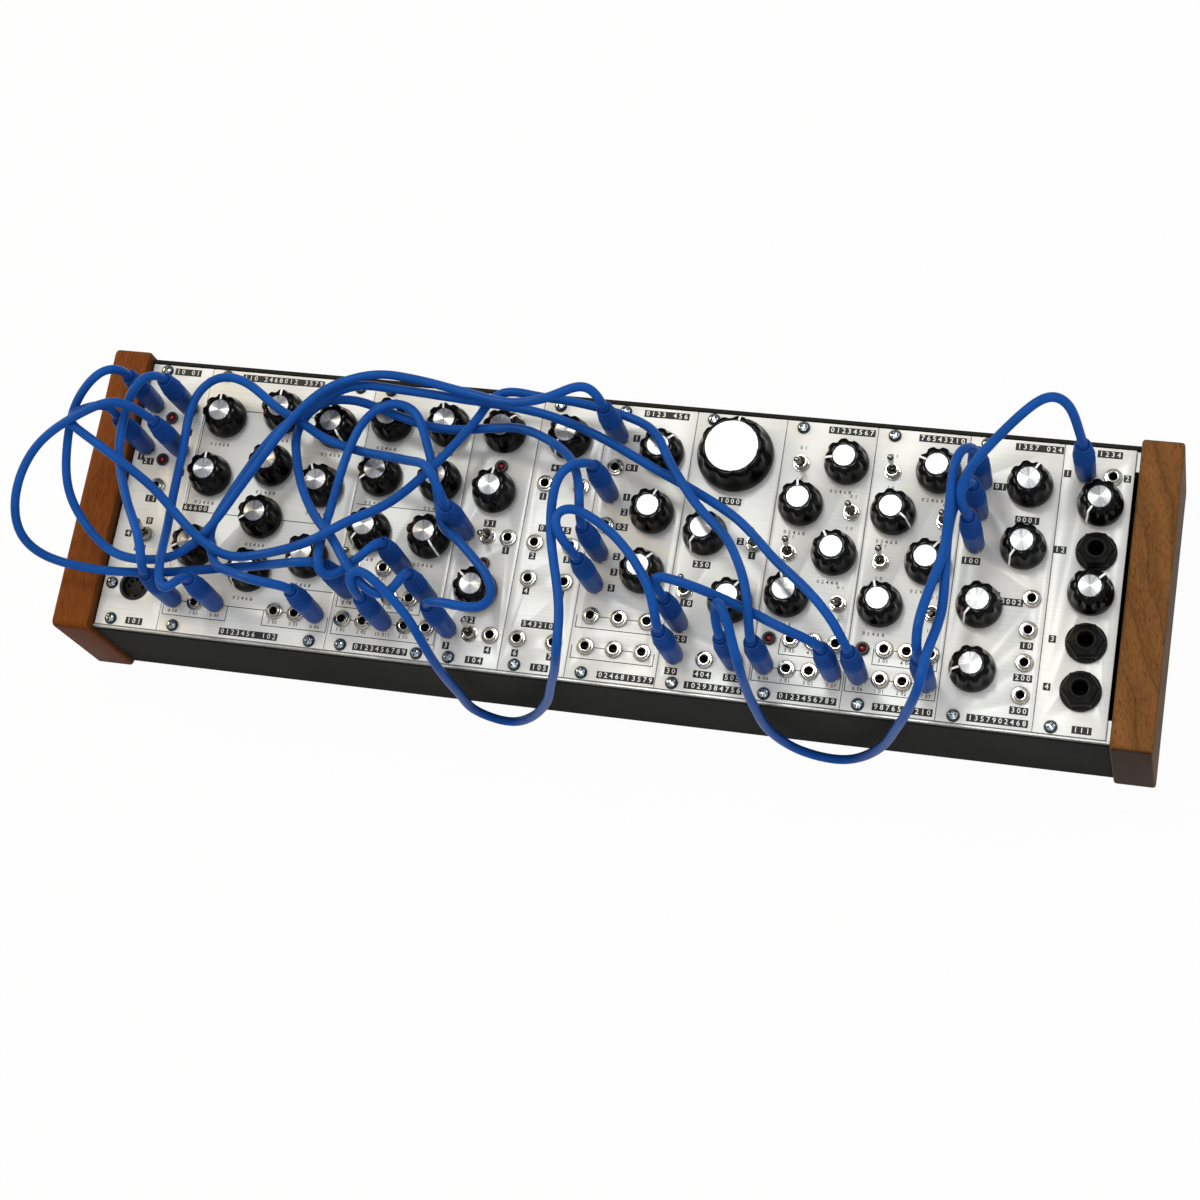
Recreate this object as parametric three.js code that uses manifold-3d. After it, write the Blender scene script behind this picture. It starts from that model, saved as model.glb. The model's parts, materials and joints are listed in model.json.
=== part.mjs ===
import * as THREE from 'three';
import { mergeVertices } from 'three/addons/utils/BufferGeometryUtils.js';
import Module from 'manifold-3d';

// Modular synthesizer: eleven panels of controls on two rails, in a steel trough between two wooden cheeks.
// Millimetres. Inside the deck group x runs along the panels, y up the panels and z out of them.
const wasm = await Module();
wasm.setup();

// Panel grid
const unitWidth = 5.08;
const panelHeight = 128.5;
const panelThickness = 2;
const panelGap = 0.3;
const clearance = 0.3;
const overrun = 0.2;

// Cheeks and case
const cheekThickness = 18;
const cheekDepth = 137.5;
const cheekHeight = 63.4;
const cheekRise = 5.4;
const cheekFront = 4.6;
const cheekRound = 3;
const cheekBevel = 1.2;
const leftGap = 0.85;
const rightGap = 1.85;
const wallThickness = 1.6;
const frontWallReach = 2;
const rearWallReach = 2.2;
const caseFootGap = 0.5;
const frontWallDrop = 3.3;
const cornerRound = 1.5;

// Rails that the panels are screwed to
const railDepth = 9;
const railHeight = 9.2;
const lipThickness = 1;
const lipDrop = 1.2;
const lipTop = 0.3;

// Small knob over its potentiometer's nut
const knobLift = 2.2;
const knobSkirtRadius = 10;
const knobFootRadius = 8.8;
const knobTopRadius = 8.1;
const knobHeight = 11;
const knobSlope = 1.2;
const knobCapRadius = 4.95;
const knobCapHeight = 0.7;
const knobLobes = 8;
const flutesDepth = 0.9;
const potNutRadius = 5.4;

// Large knob
const dialSkirtRadius = 17.2;
const dialFootRadius = 15.4;
const dialTopRadius = 14.2;
const dialHeight = 12.6;
const dialCapRadius = 11.9;
const dialLobes = 10;

// Toggle switch
const toggleNutRadius = 3.5;
const toggleBushRadius = 2.9;
const toggleBushHeight = 4.2;
const toggleBore = 2.4;
const togglePivot = 1;
const toggleBall = 1.6;
const leverNeck = 1;
const leverTip = 1.5;
const leverLength = 12.4;
const leverRound = 1.2;
const toggleTilt = 12;

// Patch jacks, outlets, lamps and the round socket
const jackNutRadius = 3.9;
const jackNutHeight = 2.2;
const jackBore = 1.85;
const outletFlangeRadius = 8.8;
const outletFlangeHeight = 2;
const outletNutRadius = 7.4;
const outletNutHeight = 6.4;
const outletBushRadius = 4.7;
const outletBushHeight = 7.6;
const outletBore = 3.6;
const lampRadius = 3;
const lampHeight = 1.3;
const lampTopRadius = 2.2;
const socketRadius = 7;
const socketWell = 5.6;
const socketWellDepth = 5;
const socketDepth = 8;
const socketFlangeLength = 27;
const socketFlangeWidth = 16;
const socketFlangeThickness = 1.5;
const socketRailGap = 2.8;

// Patch cords and their plugs
const cordRadius = 2.1;
const cordSides = 8;
const plugRadius = 4.35;
const plugTopRadius = 4.75;
const plugBodyLength = 21.5;
const plugConeRadius = 2.5;
const plugLength = 39;
const plugTuck = 1;
const plugRun = 3;

// Every panel in order from the left. Shares of the panel's own width and height, then a knob's pointer
// angle in degrees clockwise from straight up, or a lever's lean: 1 up, 0 level, -1 down. The round socket
// has its share of the width alone, as it stands on the rail.
const panels = [
  {
    units: 6,
    toggleShares: [[0.5, 0.344, 1]],
    jackShares: [[0.5, 0.53]],
    pluggedShares: [[0.217, 0.835], [0.783, 0.835], [0.217, 0.672], [0.783, 0.672]],
    lampShares: [[0.5, 0.795], [0.5, 0.633]],
    socketShares: [0.5],
  },
  {
    units: 16,
    knobShares: [
      [0.153, 0.809, -5], [0.5, 0.846, 0], [0.827, 0.809, 144], [0.137, 0.584, -3], [0.49, 0.644, 0],
      [0.81, 0.584, -25], [0.492, 0.446, -122], [0.138, 0.313, -117], [0.812, 0.318, -132], [0.488, 0.246, -150],
    ],
    jackShares: [[0.199, 0.115], [0.673, 0.115], [0.797, 0.115]],
    pluggedShares: [[0.073, 0.115], [0.326, 0.115], [0.922, 0.115]],
  },
  {
    units: 10,
    knobShares: [
      [0.236, 0.853, -60], [0.774, 0.853, -13], [0.226, 0.646, -130],
      [0.785, 0.646, 0], [0.226, 0.437, -147], [0.787, 0.437, 143],
    ],
    toggleShares: [[0.112, 0.319, 1]],
    jackShares: [
      [0.12, 0.115], [0.315, 0.115], [0.703, 0.115], [0.898, 0.115],
      [0.506, 0.215], [0.701, 0.215], [0.406, 0.314],
    ],
    pluggedShares: [[0.127, 0.215], [0.891, 0.215], [0.611, 0.314], [0.511, 0.115]],
  },
  {
    units: 6,
    knobShares: [[0.5, 0.851, 50], [0.5, 0.628, 5], [0.5, 0.265, -49]],
    toggleShares: [[0.5, 0.47, -1], [0.5, 0.114, 1]],
    jackShares: [[0.815, 0.471], [0.815, 0.116]],
    pluggedShares: [[0.185, 0.471], [0.185, 0.116]],
    lampShares: [[0.513, 0.73], [0.513, 0.369]],
  },
  {
    units: 6,
    knobShares: [[0.5, 0.851, -150]],
    jackShares: [
      [0.226, 0.683], [0.771, 0.683], [0.226, 0.464], [0.771, 0.464],
      [0.226, 0.333], [0.771, 0.333], [0.226, 0.115], [0.771, 0.115],
    ],
  },
  {
    units: 8,
    knobShares: [[0.68, 0.83, 49], [0.68, 0.61, 20], [0.68, 0.394, 43]],
    jackShares: [
      [0.177, 0.767], [0.177, 0.553], [0.185, 0.225], [0.5, 0.225],
      [0.815, 0.225], [0.185, 0.115], [0.5, 0.115], [0.815, 0.115],
    ],
    pluggedShares: [[0.177, 0.875], [0.177, 0.661], [0.177, 0.444], [0.177, 0.332]],
  },
  {
    units: 8,
    knobShares: [[0.303, 0.552, -150], [0.687, 0.322, 35]],
    dialShares: [[0.5, 0.846, 7]],
    toggleShares: [[0.167, 0.349, 1], [0.844, 0.539, 1]],
    jackShares: [[0.5, 0.115]],
    pluggedShares: [[0.173, 0.227], [0.173, 0.115], [0.828, 0.115]],
  },
  {
    units: 8,
    knobShares: [[0.719, 0.853, -100], [0.288, 0.691, -8], [0.721, 0.528, -32], [0.283, 0.365, -16]],
    toggleShares: [[0.219, 0.844, -1], [0.834, 0.685, 0], [0.221, 0.52, 1], [0.832, 0.358, -1]],
    jackShares: [[0.386, 0.115], [0.632, 0.115], [0.384, 0.219], [0.627, 0.219], [0.871, 0.219]],
    pluggedShares: [[0.153, 0.115], [0.878, 0.115]],
    lampShares: [[0.155, 0.215]],
  },
  {
    units: 8,
    knobShares: [[0.714, 0.853, -70], [0.288, 0.691, 124], [0.721, 0.528, 35], [0.283, 0.365, -18]],
    toggleShares: [[0.214, 0.844, 1], [0.834, 0.685, 0], [0.219, 0.52, 1], [0.834, 0.358, -1]],
    jackShares: [[0.384, 0.115], [0.62, 0.115], [0.384, 0.219], [0.623, 0.219], [0.873, 0.219]],
    pluggedShares: [[0.159, 0.115], [0.875, 0.115]],
    lampShares: [[0.155, 0.215]],
  },
  {
    units: 8,
    knobShares: [[0.687, 0.834, 28], [0.694, 0.616, -150], [0.315, 0.399, -146], [0.327, 0.179, -114]],
    jackShares: [[0.844, 0.448], [0.844, 0.338], [0.844, 0.226], [0.844, 0.115]],
    pluggedShares: [[0.188, 0.833], [0.188, 0.722], [0.188, 0.611]],
  },
  {
    units: 6,
    knobShares: [[0.58, 0.792, -150], [0.587, 0.482, 43]],
    jackShares: [[0.709, 0.897]],
    pluggedShares: [[0.337, 0.894]],
    outletShares: [[0.594, 0.63], [0.594, 0.315], [0.594, 0.151]],
  },
];

// Patch cords: the panel and plugged jack that each end is in, and the route between, read off the photograph.
const cords = [
  { from: [0, 0], to: [5, 0], points: [
    [3, 107, 50], [-2, 103, 53], [-11, 89, 50], [-13.5, 75, 45], [-13, 55, 36], [-8, 44, 30], [12, 27, 27],
    [28, 24.5, 28], [44, 27.5, 29], [58, 41, 31.5], [69.5, 65, 30.5], [88, 100, 31], [99, 113, 30.5],
    [119, 122.5, 28.5], [138, 122, 28.5], [166, 116, 33], [189, 110, 42], [207, 110.5, 50], [224, 119, 49],
  ] },
  { from: [0, 2], to: [7, 0], points: [
    [5, 90, 47], [-3, 87, 51], [-13, 80, 52], [-3, 73.5, 52.5], [17, 63, 47], [31, 55, 40], [43, 45, 34.5],
    [54, 36.5, 34.3], [71, 28.5, 34], [89.5, 31, 37], [103.5, 32.5, 45], [117, 36.5, 51], [127.5, 45, 50],
    [142, 58, 41], [156, 82, 29], [169, 107, 22], [177, 122, 21], [197, 122, 19], [209, 122.5, 16],
    [234, 118.8, 14], [251, 109.5, 22], [261, 94.5, 27], [278, 73.5, 31], [292, 61, 35], [302, 45.5, 44],
    [307, 35, 50.5], [310, 23, 49.3],
  ] },
  { from: [0, 1], to: [1, 0], points: [
    [20, 104.5, 50], [16, 99.5, 51], [11.5, 86.5, 45], [12, 70.5, 43.5], [21, 49, 46], [33, 30, 50],
    [36.5, 21, 49],
  ] },
  { from: [0, 3], to: [2, 0], points: [
    [17, 88, 54], [11, 88, 59], [-10, 78, 55.5], [-26, 67, 48], [-33, 53.5, 43], [-34.5, 40, 38],
    [-32, 29.5, 31], [-25, 24, 24], [-14, 21.5, 20], [8, 20, 19], [35, 22, 19], [61, 25.5, 22],
    [85, 27, 30], [109, 26.5, 45],
  ] },
  { from: [1, 1], to: [3, 0], points: [
    [54.5, 10, 49], [53.5, 5, 52], [49, 7, 50], [44, 19, 44], [36.5, 42, 27], [34.5, 57.5, 24],
    [33.5, 79.5, 22], [32.5, 101, 21.8], [36, 111.5, 21.8], [44, 117.5, 21.8], [56, 116, 21.8],
    [75, 104, 21.8], [90, 97.5, 21.8], [98, 92.5, 22], [118, 87.5, 22], [131, 84.5, 28], [146, 80, 38],
    [160, 74, 51], [164.5, 68, 51],
  ] },
  { from: [1, 2], to: [8, 0], points: [
    [97, 14.5, 48], [90, 15, 49], [71, 21.5, 39], [65, 25, 33], [56.5, 42.5, 25.5], [60, 54, 25.3],
    [77, 90.5, 25.2], [86, 100.5, 25.2], [109, 117.5, 24.5], [128, 118, 24], [159, 115.5, 26],
    [180, 114, 26.5], [201, 112, 25], [227, 104.5, 23], [251, 93.5, 22.5], [275, 83, 22], [294, 72, 26.5],
    [304, 63, 32], [317, 50, 40], [328, 41, 46], [340, 30, 50], [347, 22, 49],
  ] },
  { from: [2, 2], to: [3, 1], points: [
    [138, 33, 47], [125, 22, 44], [120, 20.5, 48], [119, 25, 51], [117, 34, 46.5], [112.5, 50, 31.5],
    [112.5, 66, 28], [113.5, 83, 26.5], [118.5, 101.5, 26], [128, 111, 24.5], [141, 108, 25.5],
    [146, 100, 25.5], [155, 80, 25], [159, 66, 20.5], [163.5, 55.5, 25], [176, 46, 38], [185, 38, 41],
    [196, 27, 46], [199, 15, 51], [193, 12, 53], [178, 14, 50],
  ] },
  { from: [2, 1], to: [5, 2], points: [
    [156, 21, 47.5], [150, 13.5, 48.7], [136, 22, 50], [120, 40.5, 45], [112.5, 46.5, 41.5], [97, 64.5, 27],
    [89, 79.5, 21], [84.5, 97.5, 17.5], [94, 111, 17.5], [111, 113, 17.5], [125, 109, 18], [152, 103, 18],
    [178, 105.5, 19], [191, 104.5, 25], [207, 98, 30], [221, 86.5, 40], [229, 70, 49], [230, 63, 49],
  ] },
  { from: [2, 3], to: [5, 1], points: [
    [135, 20, 55], [138, 24, 55], [149, 18, 53.3], [162, 7.5, 46], [168.5, -1.5, 35], [171.5, -6.5, 17],
    [173, -8.5, -15], [175, -9.5, -44], [187, -10, -55.4], [200, -10, -43], [216, -9, -9], [222, -7.5, 13],
    [228, -5.5, 34], [231.5, 0, 51], [229.5, 17, 50], [219, 54.5, 50], [220, 76.5, 53], [225, 81, 52],
  ] },
  { from: [5, 3], to: [6, 1], points: [
    [224, 49, 54], [221, 56, 55], [226, 61, 54], [247, 52, 51], [267, 29.5, 53], [270, 21, 50],
  ] },
  { from: [6, 0], to: [7, 1], points: [
    [268, 32, 48], [266, 35.5, 50.5], [287, 32, 51], [304, 28, 45], [315, 23.5, 47], [324, 19, 51],
    [333, 16.5, 49],
  ] },
  { from: [6, 2], to: [9, 1], points: [
    [297, 20, 52], [296, 24.5, 54], [299, 28.5, 50.3], [304, 13, 51], [308.5, 2, 48], [310, -3.5, 28],
    [311.5, -6.5, 8], [313, -8, -15], [321, -9, -41], [330, -9.5, -50], [341.5, -9.5, -53], [351, -9, -45],
    [363, -8.5, -21], [372.5, -7.5, 12], [377.5, -6, 29], [384.5, 2, 52], [385, 13.5, 50],
    [388.5, 34.5, 44], [387, 59, 42], [386.5, 73, 42.5], [389.5, 85, 48], [392, 90.5, 49],
  ] },
  { from: [9, 0], to: [8, 1], points: [
    [390.5, 106, 50], [387.5, 99, 55], [387, 80, 52], [386.5, 61, 45.7], [383, 44, 48], [380.5, 26, 52],
    [380.5, 19, 50],
  ] },
  { from: [10, 0], to: [9, 2], points: [
    [435, 118, 53], [432, 123.5, 61], [426, 127, 64], [420, 124, 65], [400, 102, 60], [392.5, 90.5, 57],
    [390.3, 81, 51],
  ] },
];

// Materials
const steelDark = new THREE.MeshStandardMaterial({ color: 0x2b2b28, roughness: 0.55, metalness: 0.3 });
const woodLeft = new THREE.MeshStandardMaterial({ color: 0x733c18, roughness: 0.5, metalness: 0 });
const woodRight = new THREE.MeshStandardMaterial({ color: 0x7d5228, roughness: 0.5, metalness: 0 });
const aluminium = new THREE.MeshStandardMaterial({ color: 0xd2d0ca, roughness: 0.4, metalness: 0.8 });
const knobBlack = new THREE.MeshStandardMaterial({ color: 0x101010, roughness: 0.25, metalness: 0 });
const chrome = new THREE.MeshStandardMaterial({ color: 0xc8c8c8, roughness: 0.25, metalness: 1 });
const cordBlue = new THREE.MeshStandardMaterial({ color: 0x1f53b5, roughness: 0.35, metalness: 0 });
const socketBlack = new THREE.MeshStandardMaterial({ color: 0x161616, roughness: 0.5, metalness: 0 });

// Solids from three.js geometries and back
function solid(geometry) {
  geometry.deleteAttribute('normal');
  geometry.deleteAttribute('uv');
  const merged = mergeVertices(geometry);
  const vertProperties = new Float32Array(merged.attributes.position.array);
  const corners = Array.from(merged.index.array);
  const triVerts = new Uint32Array(corners.filter((corner, i) => {
    const [a, b, c] = corners.slice(i - (i % 3), i - (i % 3) + 3);
    return a !== b && b !== c && c !== a;
  }));
  return new wasm.Manifold(new wasm.Mesh({ numProp: 3, vertProperties, triVerts }));
}

function geometryOf(manifold) {
  const mesh = manifold.simplify().getMesh();
  const geometry = new THREE.BufferGeometry();
  geometry.setAttribute('position', new THREE.BufferAttribute(new Float32Array(mesh.vertProperties), mesh.numProp));
  geometry.setIndex(Array.from(mesh.triVerts));
  return geometry;
}

function joined(solids) {
  return solids.reduce((whole, next) => whole.add(next));
}

// A round post from one height to another, standing on the panel at x, y
function post(x, y, radius, low, high, sides, topRadius = radius) {
  const geometry = new THREE.CylinderGeometry(topRadius, radius, high - low, sides);
  geometry.rotateX(Math.PI / 2);
  geometry.translate(x, y, (low + high) / 2);
  return solid(geometry);
}

// A turned piece about the z axis from its profile of radius and height
function turned(profile, sides) {
  const geometry = new THREE.LatheGeometry(profile.map(([r, z]) => new THREE.Vector2(r, z)), sides);
  geometry.rotateX(Math.PI / 2);
  return geometry;
}

// A bar along x from its outline in y and z
function bar(outline, left, right) {
  const shape = new THREE.Shape(outline.map(([y, z]) => new THREE.Vector2(y, z)));
  const geometry = new THREE.ExtrudeGeometry(shape, { depth: right - left, bevelEnabled: false });
  geometry.applyMatrix4(new THREE.Matrix4().makeBasis(
    new THREE.Vector3(0, 1, 0), new THREE.Vector3(0, 0, 1), new THREE.Vector3(1, 0, 0)));
  geometry.translate(left, 0, 0);
  return geometry;
}

const totalUnits = panels.reduce((sum, panel) => sum + panel.units, 0);
const deckLength = totalUnits * unitWidth;
const overallLength = deckLength + leftGap + rightGap + 2 * cheekThickness;
const floorLevel = cheekRise - cheekHeight;
const caseLeft = clearance - leftGap;
const caseRight = deckLength + rightGap - clearance;

const synthesizer = new THREE.Group();
const deck = new THREE.Group();
deck.position.set(leftGap + cheekThickness - overallLength / 2, cheekFront - cheekDepth / 2, -floorLevel);
synthesizer.add(deck);

function addPiece(name, geometry, material, parent = deck) {
  const mesh = new THREE.Mesh(geometry, material);
  mesh.name = name;
  parent.add(mesh);
  return mesh;
}

// Wooden cheek, its upper edges rounded and all edges eased
function cheekGeometry() {
  const length = cheekDepth - 2 * cheekBevel;
  const height = cheekHeight - 2 * cheekBevel;
  const round = cheekRound - cheekBevel;
  const shape = new THREE.Shape();
  shape.moveTo(0, 0);
  shape.lineTo(length, 0);
  shape.lineTo(length, height - round);
  shape.absarc(length - round, height - round, round, 0, Math.PI / 2);
  shape.lineTo(round, height);
  shape.absarc(round, height - round, round, Math.PI / 2, Math.PI);
  shape.closePath();
  const geometry = new THREE.ExtrudeGeometry(shape, {
    depth: cheekThickness - 2 * cheekBevel,
    bevelThickness: cheekBevel,
    bevelSize: cheekBevel,
    bevelSegments: 1,
    curveSegments: 2,
  });
  geometry.applyMatrix4(new THREE.Matrix4().makeBasis(
    new THREE.Vector3(0, 1, 0), new THREE.Vector3(0, 0, 1), new THREE.Vector3(1, 0, 0)));
  geometry.translate(cheekBevel, cheekBevel - cheekFront, cheekBevel + floorLevel);
  return geometry;
}

addPiece('cheek_left', cheekGeometry(), woodLeft).position.x = -leftGap - cheekThickness;
addPiece('cheek_right', cheekGeometry(), woodRight).position.x = deckLength + rightGap;

// Trough: front wall, floor and rear wall folded from one sheet, open above
const caseFront = -frontWallReach;
const caseRear = panelHeight + rearWallReach;
const caseFloor = floorLevel + caseFootGap;
addPiece('case', bar([
  [caseFront + cornerRound, caseFloor],
  [caseRear - cornerRound, caseFloor],
  [caseRear, caseFloor + cornerRound],
  [caseRear, 0],
  [caseRear - wallThickness, 0],
  [caseRear - wallThickness, caseFloor + cornerRound + wallThickness / 2],
  [caseRear - wallThickness - cornerRound / 2, caseFloor + wallThickness],
  [caseFront + wallThickness + cornerRound / 2, caseFloor + wallThickness],
  [caseFront + wallThickness, caseFloor + cornerRound + wallThickness / 2],
  [caseFront + wallThickness, -frontWallDrop],
  [caseFront, -frontWallDrop],
  [caseFront, caseFloor + cornerRound],
], caseLeft, caseRight), steelDark);

// Rails under the panels' ends; the front one carries the bright lip before the panels
const railTop = overrun - panelThickness;
const railFoot = railTop - railHeight;
const lipFace = -lipThickness - clearance;
const frontRail = bar([
  [0, railFoot],
  [railDepth, railFoot],
  [railDepth, railTop],
  [-clearance, railTop],
  [-clearance, -lipTop],
  [lipFace, -lipTop],
  [lipFace, railTop - lipDrop],
  [0, railTop - lipDrop],
], caseLeft, caseRight);
const rearFace = caseRear - wallThickness - clearance;
const rearRail = bar([
  [panelHeight - railDepth, railFoot],
  [rearFace, railFoot],
  [rearFace, railTop],
  [panelHeight - railDepth, railTop],
], caseLeft, caseRight);

// Panels with everything fixed to them
const metalwork = [solid(frontRail), solid(rearRail)];
const cuts = [];
const knobs = [];
const dials = [];
const levers = [];
const sockets = [];
const plugSeats = [];
let panelLeft = 0;
for (const panel of panels) {
  const width = panel.units * unitWidth;
  const place = ([xShare, yShare]) => [panelLeft + xShare * width, yShare * panelHeight];
  const plate = new THREE.BoxGeometry(width - panelGap, panelHeight, panelThickness);
  plate.translate(panelLeft + width / 2, panelHeight / 2, -panelThickness / 2);
  metalwork.push(solid(plate));
  for (const spot of [...(panel.knobShares ?? []), ...(panel.dialShares ?? [])]) {
    const [x, y] = place(spot);
    metalwork.push(post(x, y, potNutRadius, -overrun, knobLift - clearance, 6));
  }
  for (const spot of panel.knobShares ?? []) knobs.push({ at: place(spot), pointer: spot[2] });
  for (const spot of panel.dialShares ?? []) dials.push({ at: place(spot), pointer: spot[2] });
  for (const spot of panel.toggleShares ?? []) {
    const [x, y] = place(spot);
    metalwork.push(post(x, y, toggleNutRadius, -overrun, toggleBushHeight, 6, toggleBushRadius));
    cuts.push(post(x, y, toggleBore, togglePivot - toggleBall - clearance, toggleBushHeight + overrun, 6));
    levers.push({ at: [x, y], lean: spot[2] });
  }
  const seats = (panel.pluggedShares ?? []).map(place);
  plugSeats.push(seats);
  for (const [x, y] of [...(panel.jackShares ?? []).map(place), ...seats]) {
    metalwork.push(post(x, y, jackNutRadius, -overrun, jackNutHeight, 6));
  }
  for (const [x, y] of (panel.jackShares ?? []).map(place)) {
    cuts.push(post(x, y, jackBore, -panelThickness - overrun, jackNutHeight + overrun, 6));
  }
  for (const [x, y] of (panel.outletShares ?? []).map(place)) {
    metalwork.push(post(x, y, outletFlangeRadius, -overrun, outletFlangeHeight, 12));
    metalwork.push(post(x, y, outletNutRadius, -overrun, outletNutHeight, 6));
    metalwork.push(post(x, y, outletBushRadius, -overrun, outletBushHeight, 12));
    cuts.push(post(x, y, outletBore, -panelThickness - overrun, outletBushHeight + overrun, 10));
  }
  for (const [x, y] of (panel.lampShares ?? []).map(place)) {
    metalwork.push(post(x, y, lampRadius, -overrun, lampHeight, 8, lampTopRadius));
  }
  for (const share of panel.socketShares ?? []) {
    const x = panelLeft + share * width;
    const y = railDepth + socketRailGap + socketFlangeWidth / 2;
    cuts.push(post(x, y, socketRadius + clearance, -panelThickness - overrun, overrun, 16));
    sockets.push([x, y]);
  }
  panelLeft += width;
}
addPiece('panels_and_rails', geometryOf(joined(metalwork).subtract(joined(cuts))), aluminium);

// Round socket: a cup in the panel's cut-out with its flange behind the panel
for (const [x, y] of sockets) {
  const flange = new THREE.BoxGeometry(socketFlangeLength, socketFlangeWidth, socketFlangeThickness);
  const flangeTop = -panelThickness - clearance;
  flange.translate(x, y, flangeTop - socketFlangeThickness / 2);
  const cup = post(x, y, socketRadius, -socketDepth, 0, 16).add(solid(flange));
  const well = post(x, y, socketWell, -socketWellDepth, overrun, 12);
  addPiece('round_socket', geometryOf(cup.subtract(well)), socketBlack);
}

// Fluted knob: sharp skirt, grip with lobes and a raised cap with one corner to each lobe
function knobSolid(skirt, foot, top, height, cap, lobes) {
  const geometry = turned([
    [0, 0],
    [skirt, 0],
    [foot, knobSlope],
    [top, height],
    [cap, height + knobCapHeight],
    [0, height + knobCapHeight],
  ], 2 * lobes);
  const position = geometry.attributes.position;
  for (let i = 0; i < position.count; i += 1) {
    const angle = Math.atan2(position.getY(i), position.getX(i));
    const radius = Math.hypot(position.getX(i), position.getY(i));
    const step = Math.round(angle / (Math.PI / lobes));
    const between = step % 2 !== 0;
    if (between && position.getZ(i) > height) {
      const corner = (step - 1) * Math.PI / lobes;
      position.setXY(i, radius * Math.cos(corner), radius * Math.sin(corner));
    } else if (between && position.getZ(i) > 0) {
      const drawn = (radius - flutesDepth) / radius;
      position.setXY(i, position.getX(i) * drawn, position.getY(i) * drawn);
    }
  }
  return geometryOf(solid(geometry));
}

function addKnobs(list, prefix, geometry) {
  list.forEach(({ at, pointer }, index) => {
    const knob = addPiece(`${prefix}_${String(index + 1).padStart(2, '0')}`, geometry, knobBlack);
    knob.position.set(at[0], at[1], knobLift);
    knob.userData.pointer = pointer;
  });
}

addKnobs(knobs, 'knob', knobSolid(
  knobSkirtRadius, knobFootRadius, knobTopRadius, knobHeight, knobCapRadius, knobLobes));
addKnobs(dials, 'dial', knobSolid(
  dialSkirtRadius, dialFootRadius, dialTopRadius, dialHeight, dialCapRadius, dialLobes));

// Toggle lever: pivot ball in its bush, neck, and a bat that widens to a rounded tip
const leverGeometry = turned([
  [0, -toggleBall],
  [toggleBall, 0],
  [leverNeck, toggleBall],
  [leverTip, leverLength - leverRound],
  [leverTip / 2, leverLength],
  [0, leverLength],
], 6);
levers.forEach(({ at, lean }, index) => {
  const lever = addPiece(`toggle_${String(index + 1).padStart(2, '0')}`,
    geometryOf(solid(leverGeometry.clone())), chrome);
  lever.position.set(at[0], at[1], togglePivot);
  lever.rotation.x = -THREE.MathUtils.degToRad(lean * toggleTilt);
});

// A cord's route, stepped at its own points so that bends get short steps and runs long ones
class Route extends THREE.CatmullRomCurve3 {
  getUtoTmapping(u) {
    return u;
  }
}

const cordSection = new THREE.Shape();
for (let i = 0; i < cordSides; i += 1) {
  const turn = (i + 0.5) * 2 * Math.PI / cordSides;
  const x = cordRadius * Math.cos(turn);
  const y = cordRadius * Math.sin(turn);
  if (i === 0) cordSection.moveTo(x, y);
  else cordSection.lineTo(x, y);
}
cordSection.closePath();

const plugSeat = jackNutHeight + clearance;
const plugTop = plugSeat + plugLength;
const plugGeometry = turned([
  [0, 0],
  [plugRadius, 0],
  [plugTopRadius, plugBodyLength],
  [plugConeRadius, plugLength],
  [0, plugLength],
], cordSides);

const patch = [];
for (const { from, to, points } of cords) {
  const ends = [from, to].map(([panel, jack]) => plugSeats[panel][jack]);
  for (const [x, y] of ends) {
    const plug = plugGeometry.clone();
    plug.translate(x, y, plugSeat);
    patch.push(solid(plug));
  }
  const [start, finish] = ends;
  const route = new Route([
    new THREE.Vector3(start[0], start[1], plugTop - plugTuck),
    new THREE.Vector3(start[0], start[1], plugTop + plugRun),
    ...points.map((p) => new THREE.Vector3(...p)),
    new THREE.Vector3(finish[0], finish[1], plugTop + plugRun),
    new THREE.Vector3(finish[0], finish[1], plugTop - plugTuck),
  ], false, 'centripetal');
  const tube = new THREE.ExtrudeGeometry(cordSection, {
    steps: route.points.length - 1,
    extrudePath: route,
    bevelEnabled: false,
  });
  patch.push(solid(tube));
}
addPiece('patch_cords', geometryOf(joined(patch)), cordBlue);

export default synthesizer;
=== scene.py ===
"""Looks of a desktop modular synthesizer: eleven panels of knobs, switches and jacks in a trough between two
wooden cheeks, patched with blue cords. Tables are in millimetres from the panels' lower left corner."""

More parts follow.
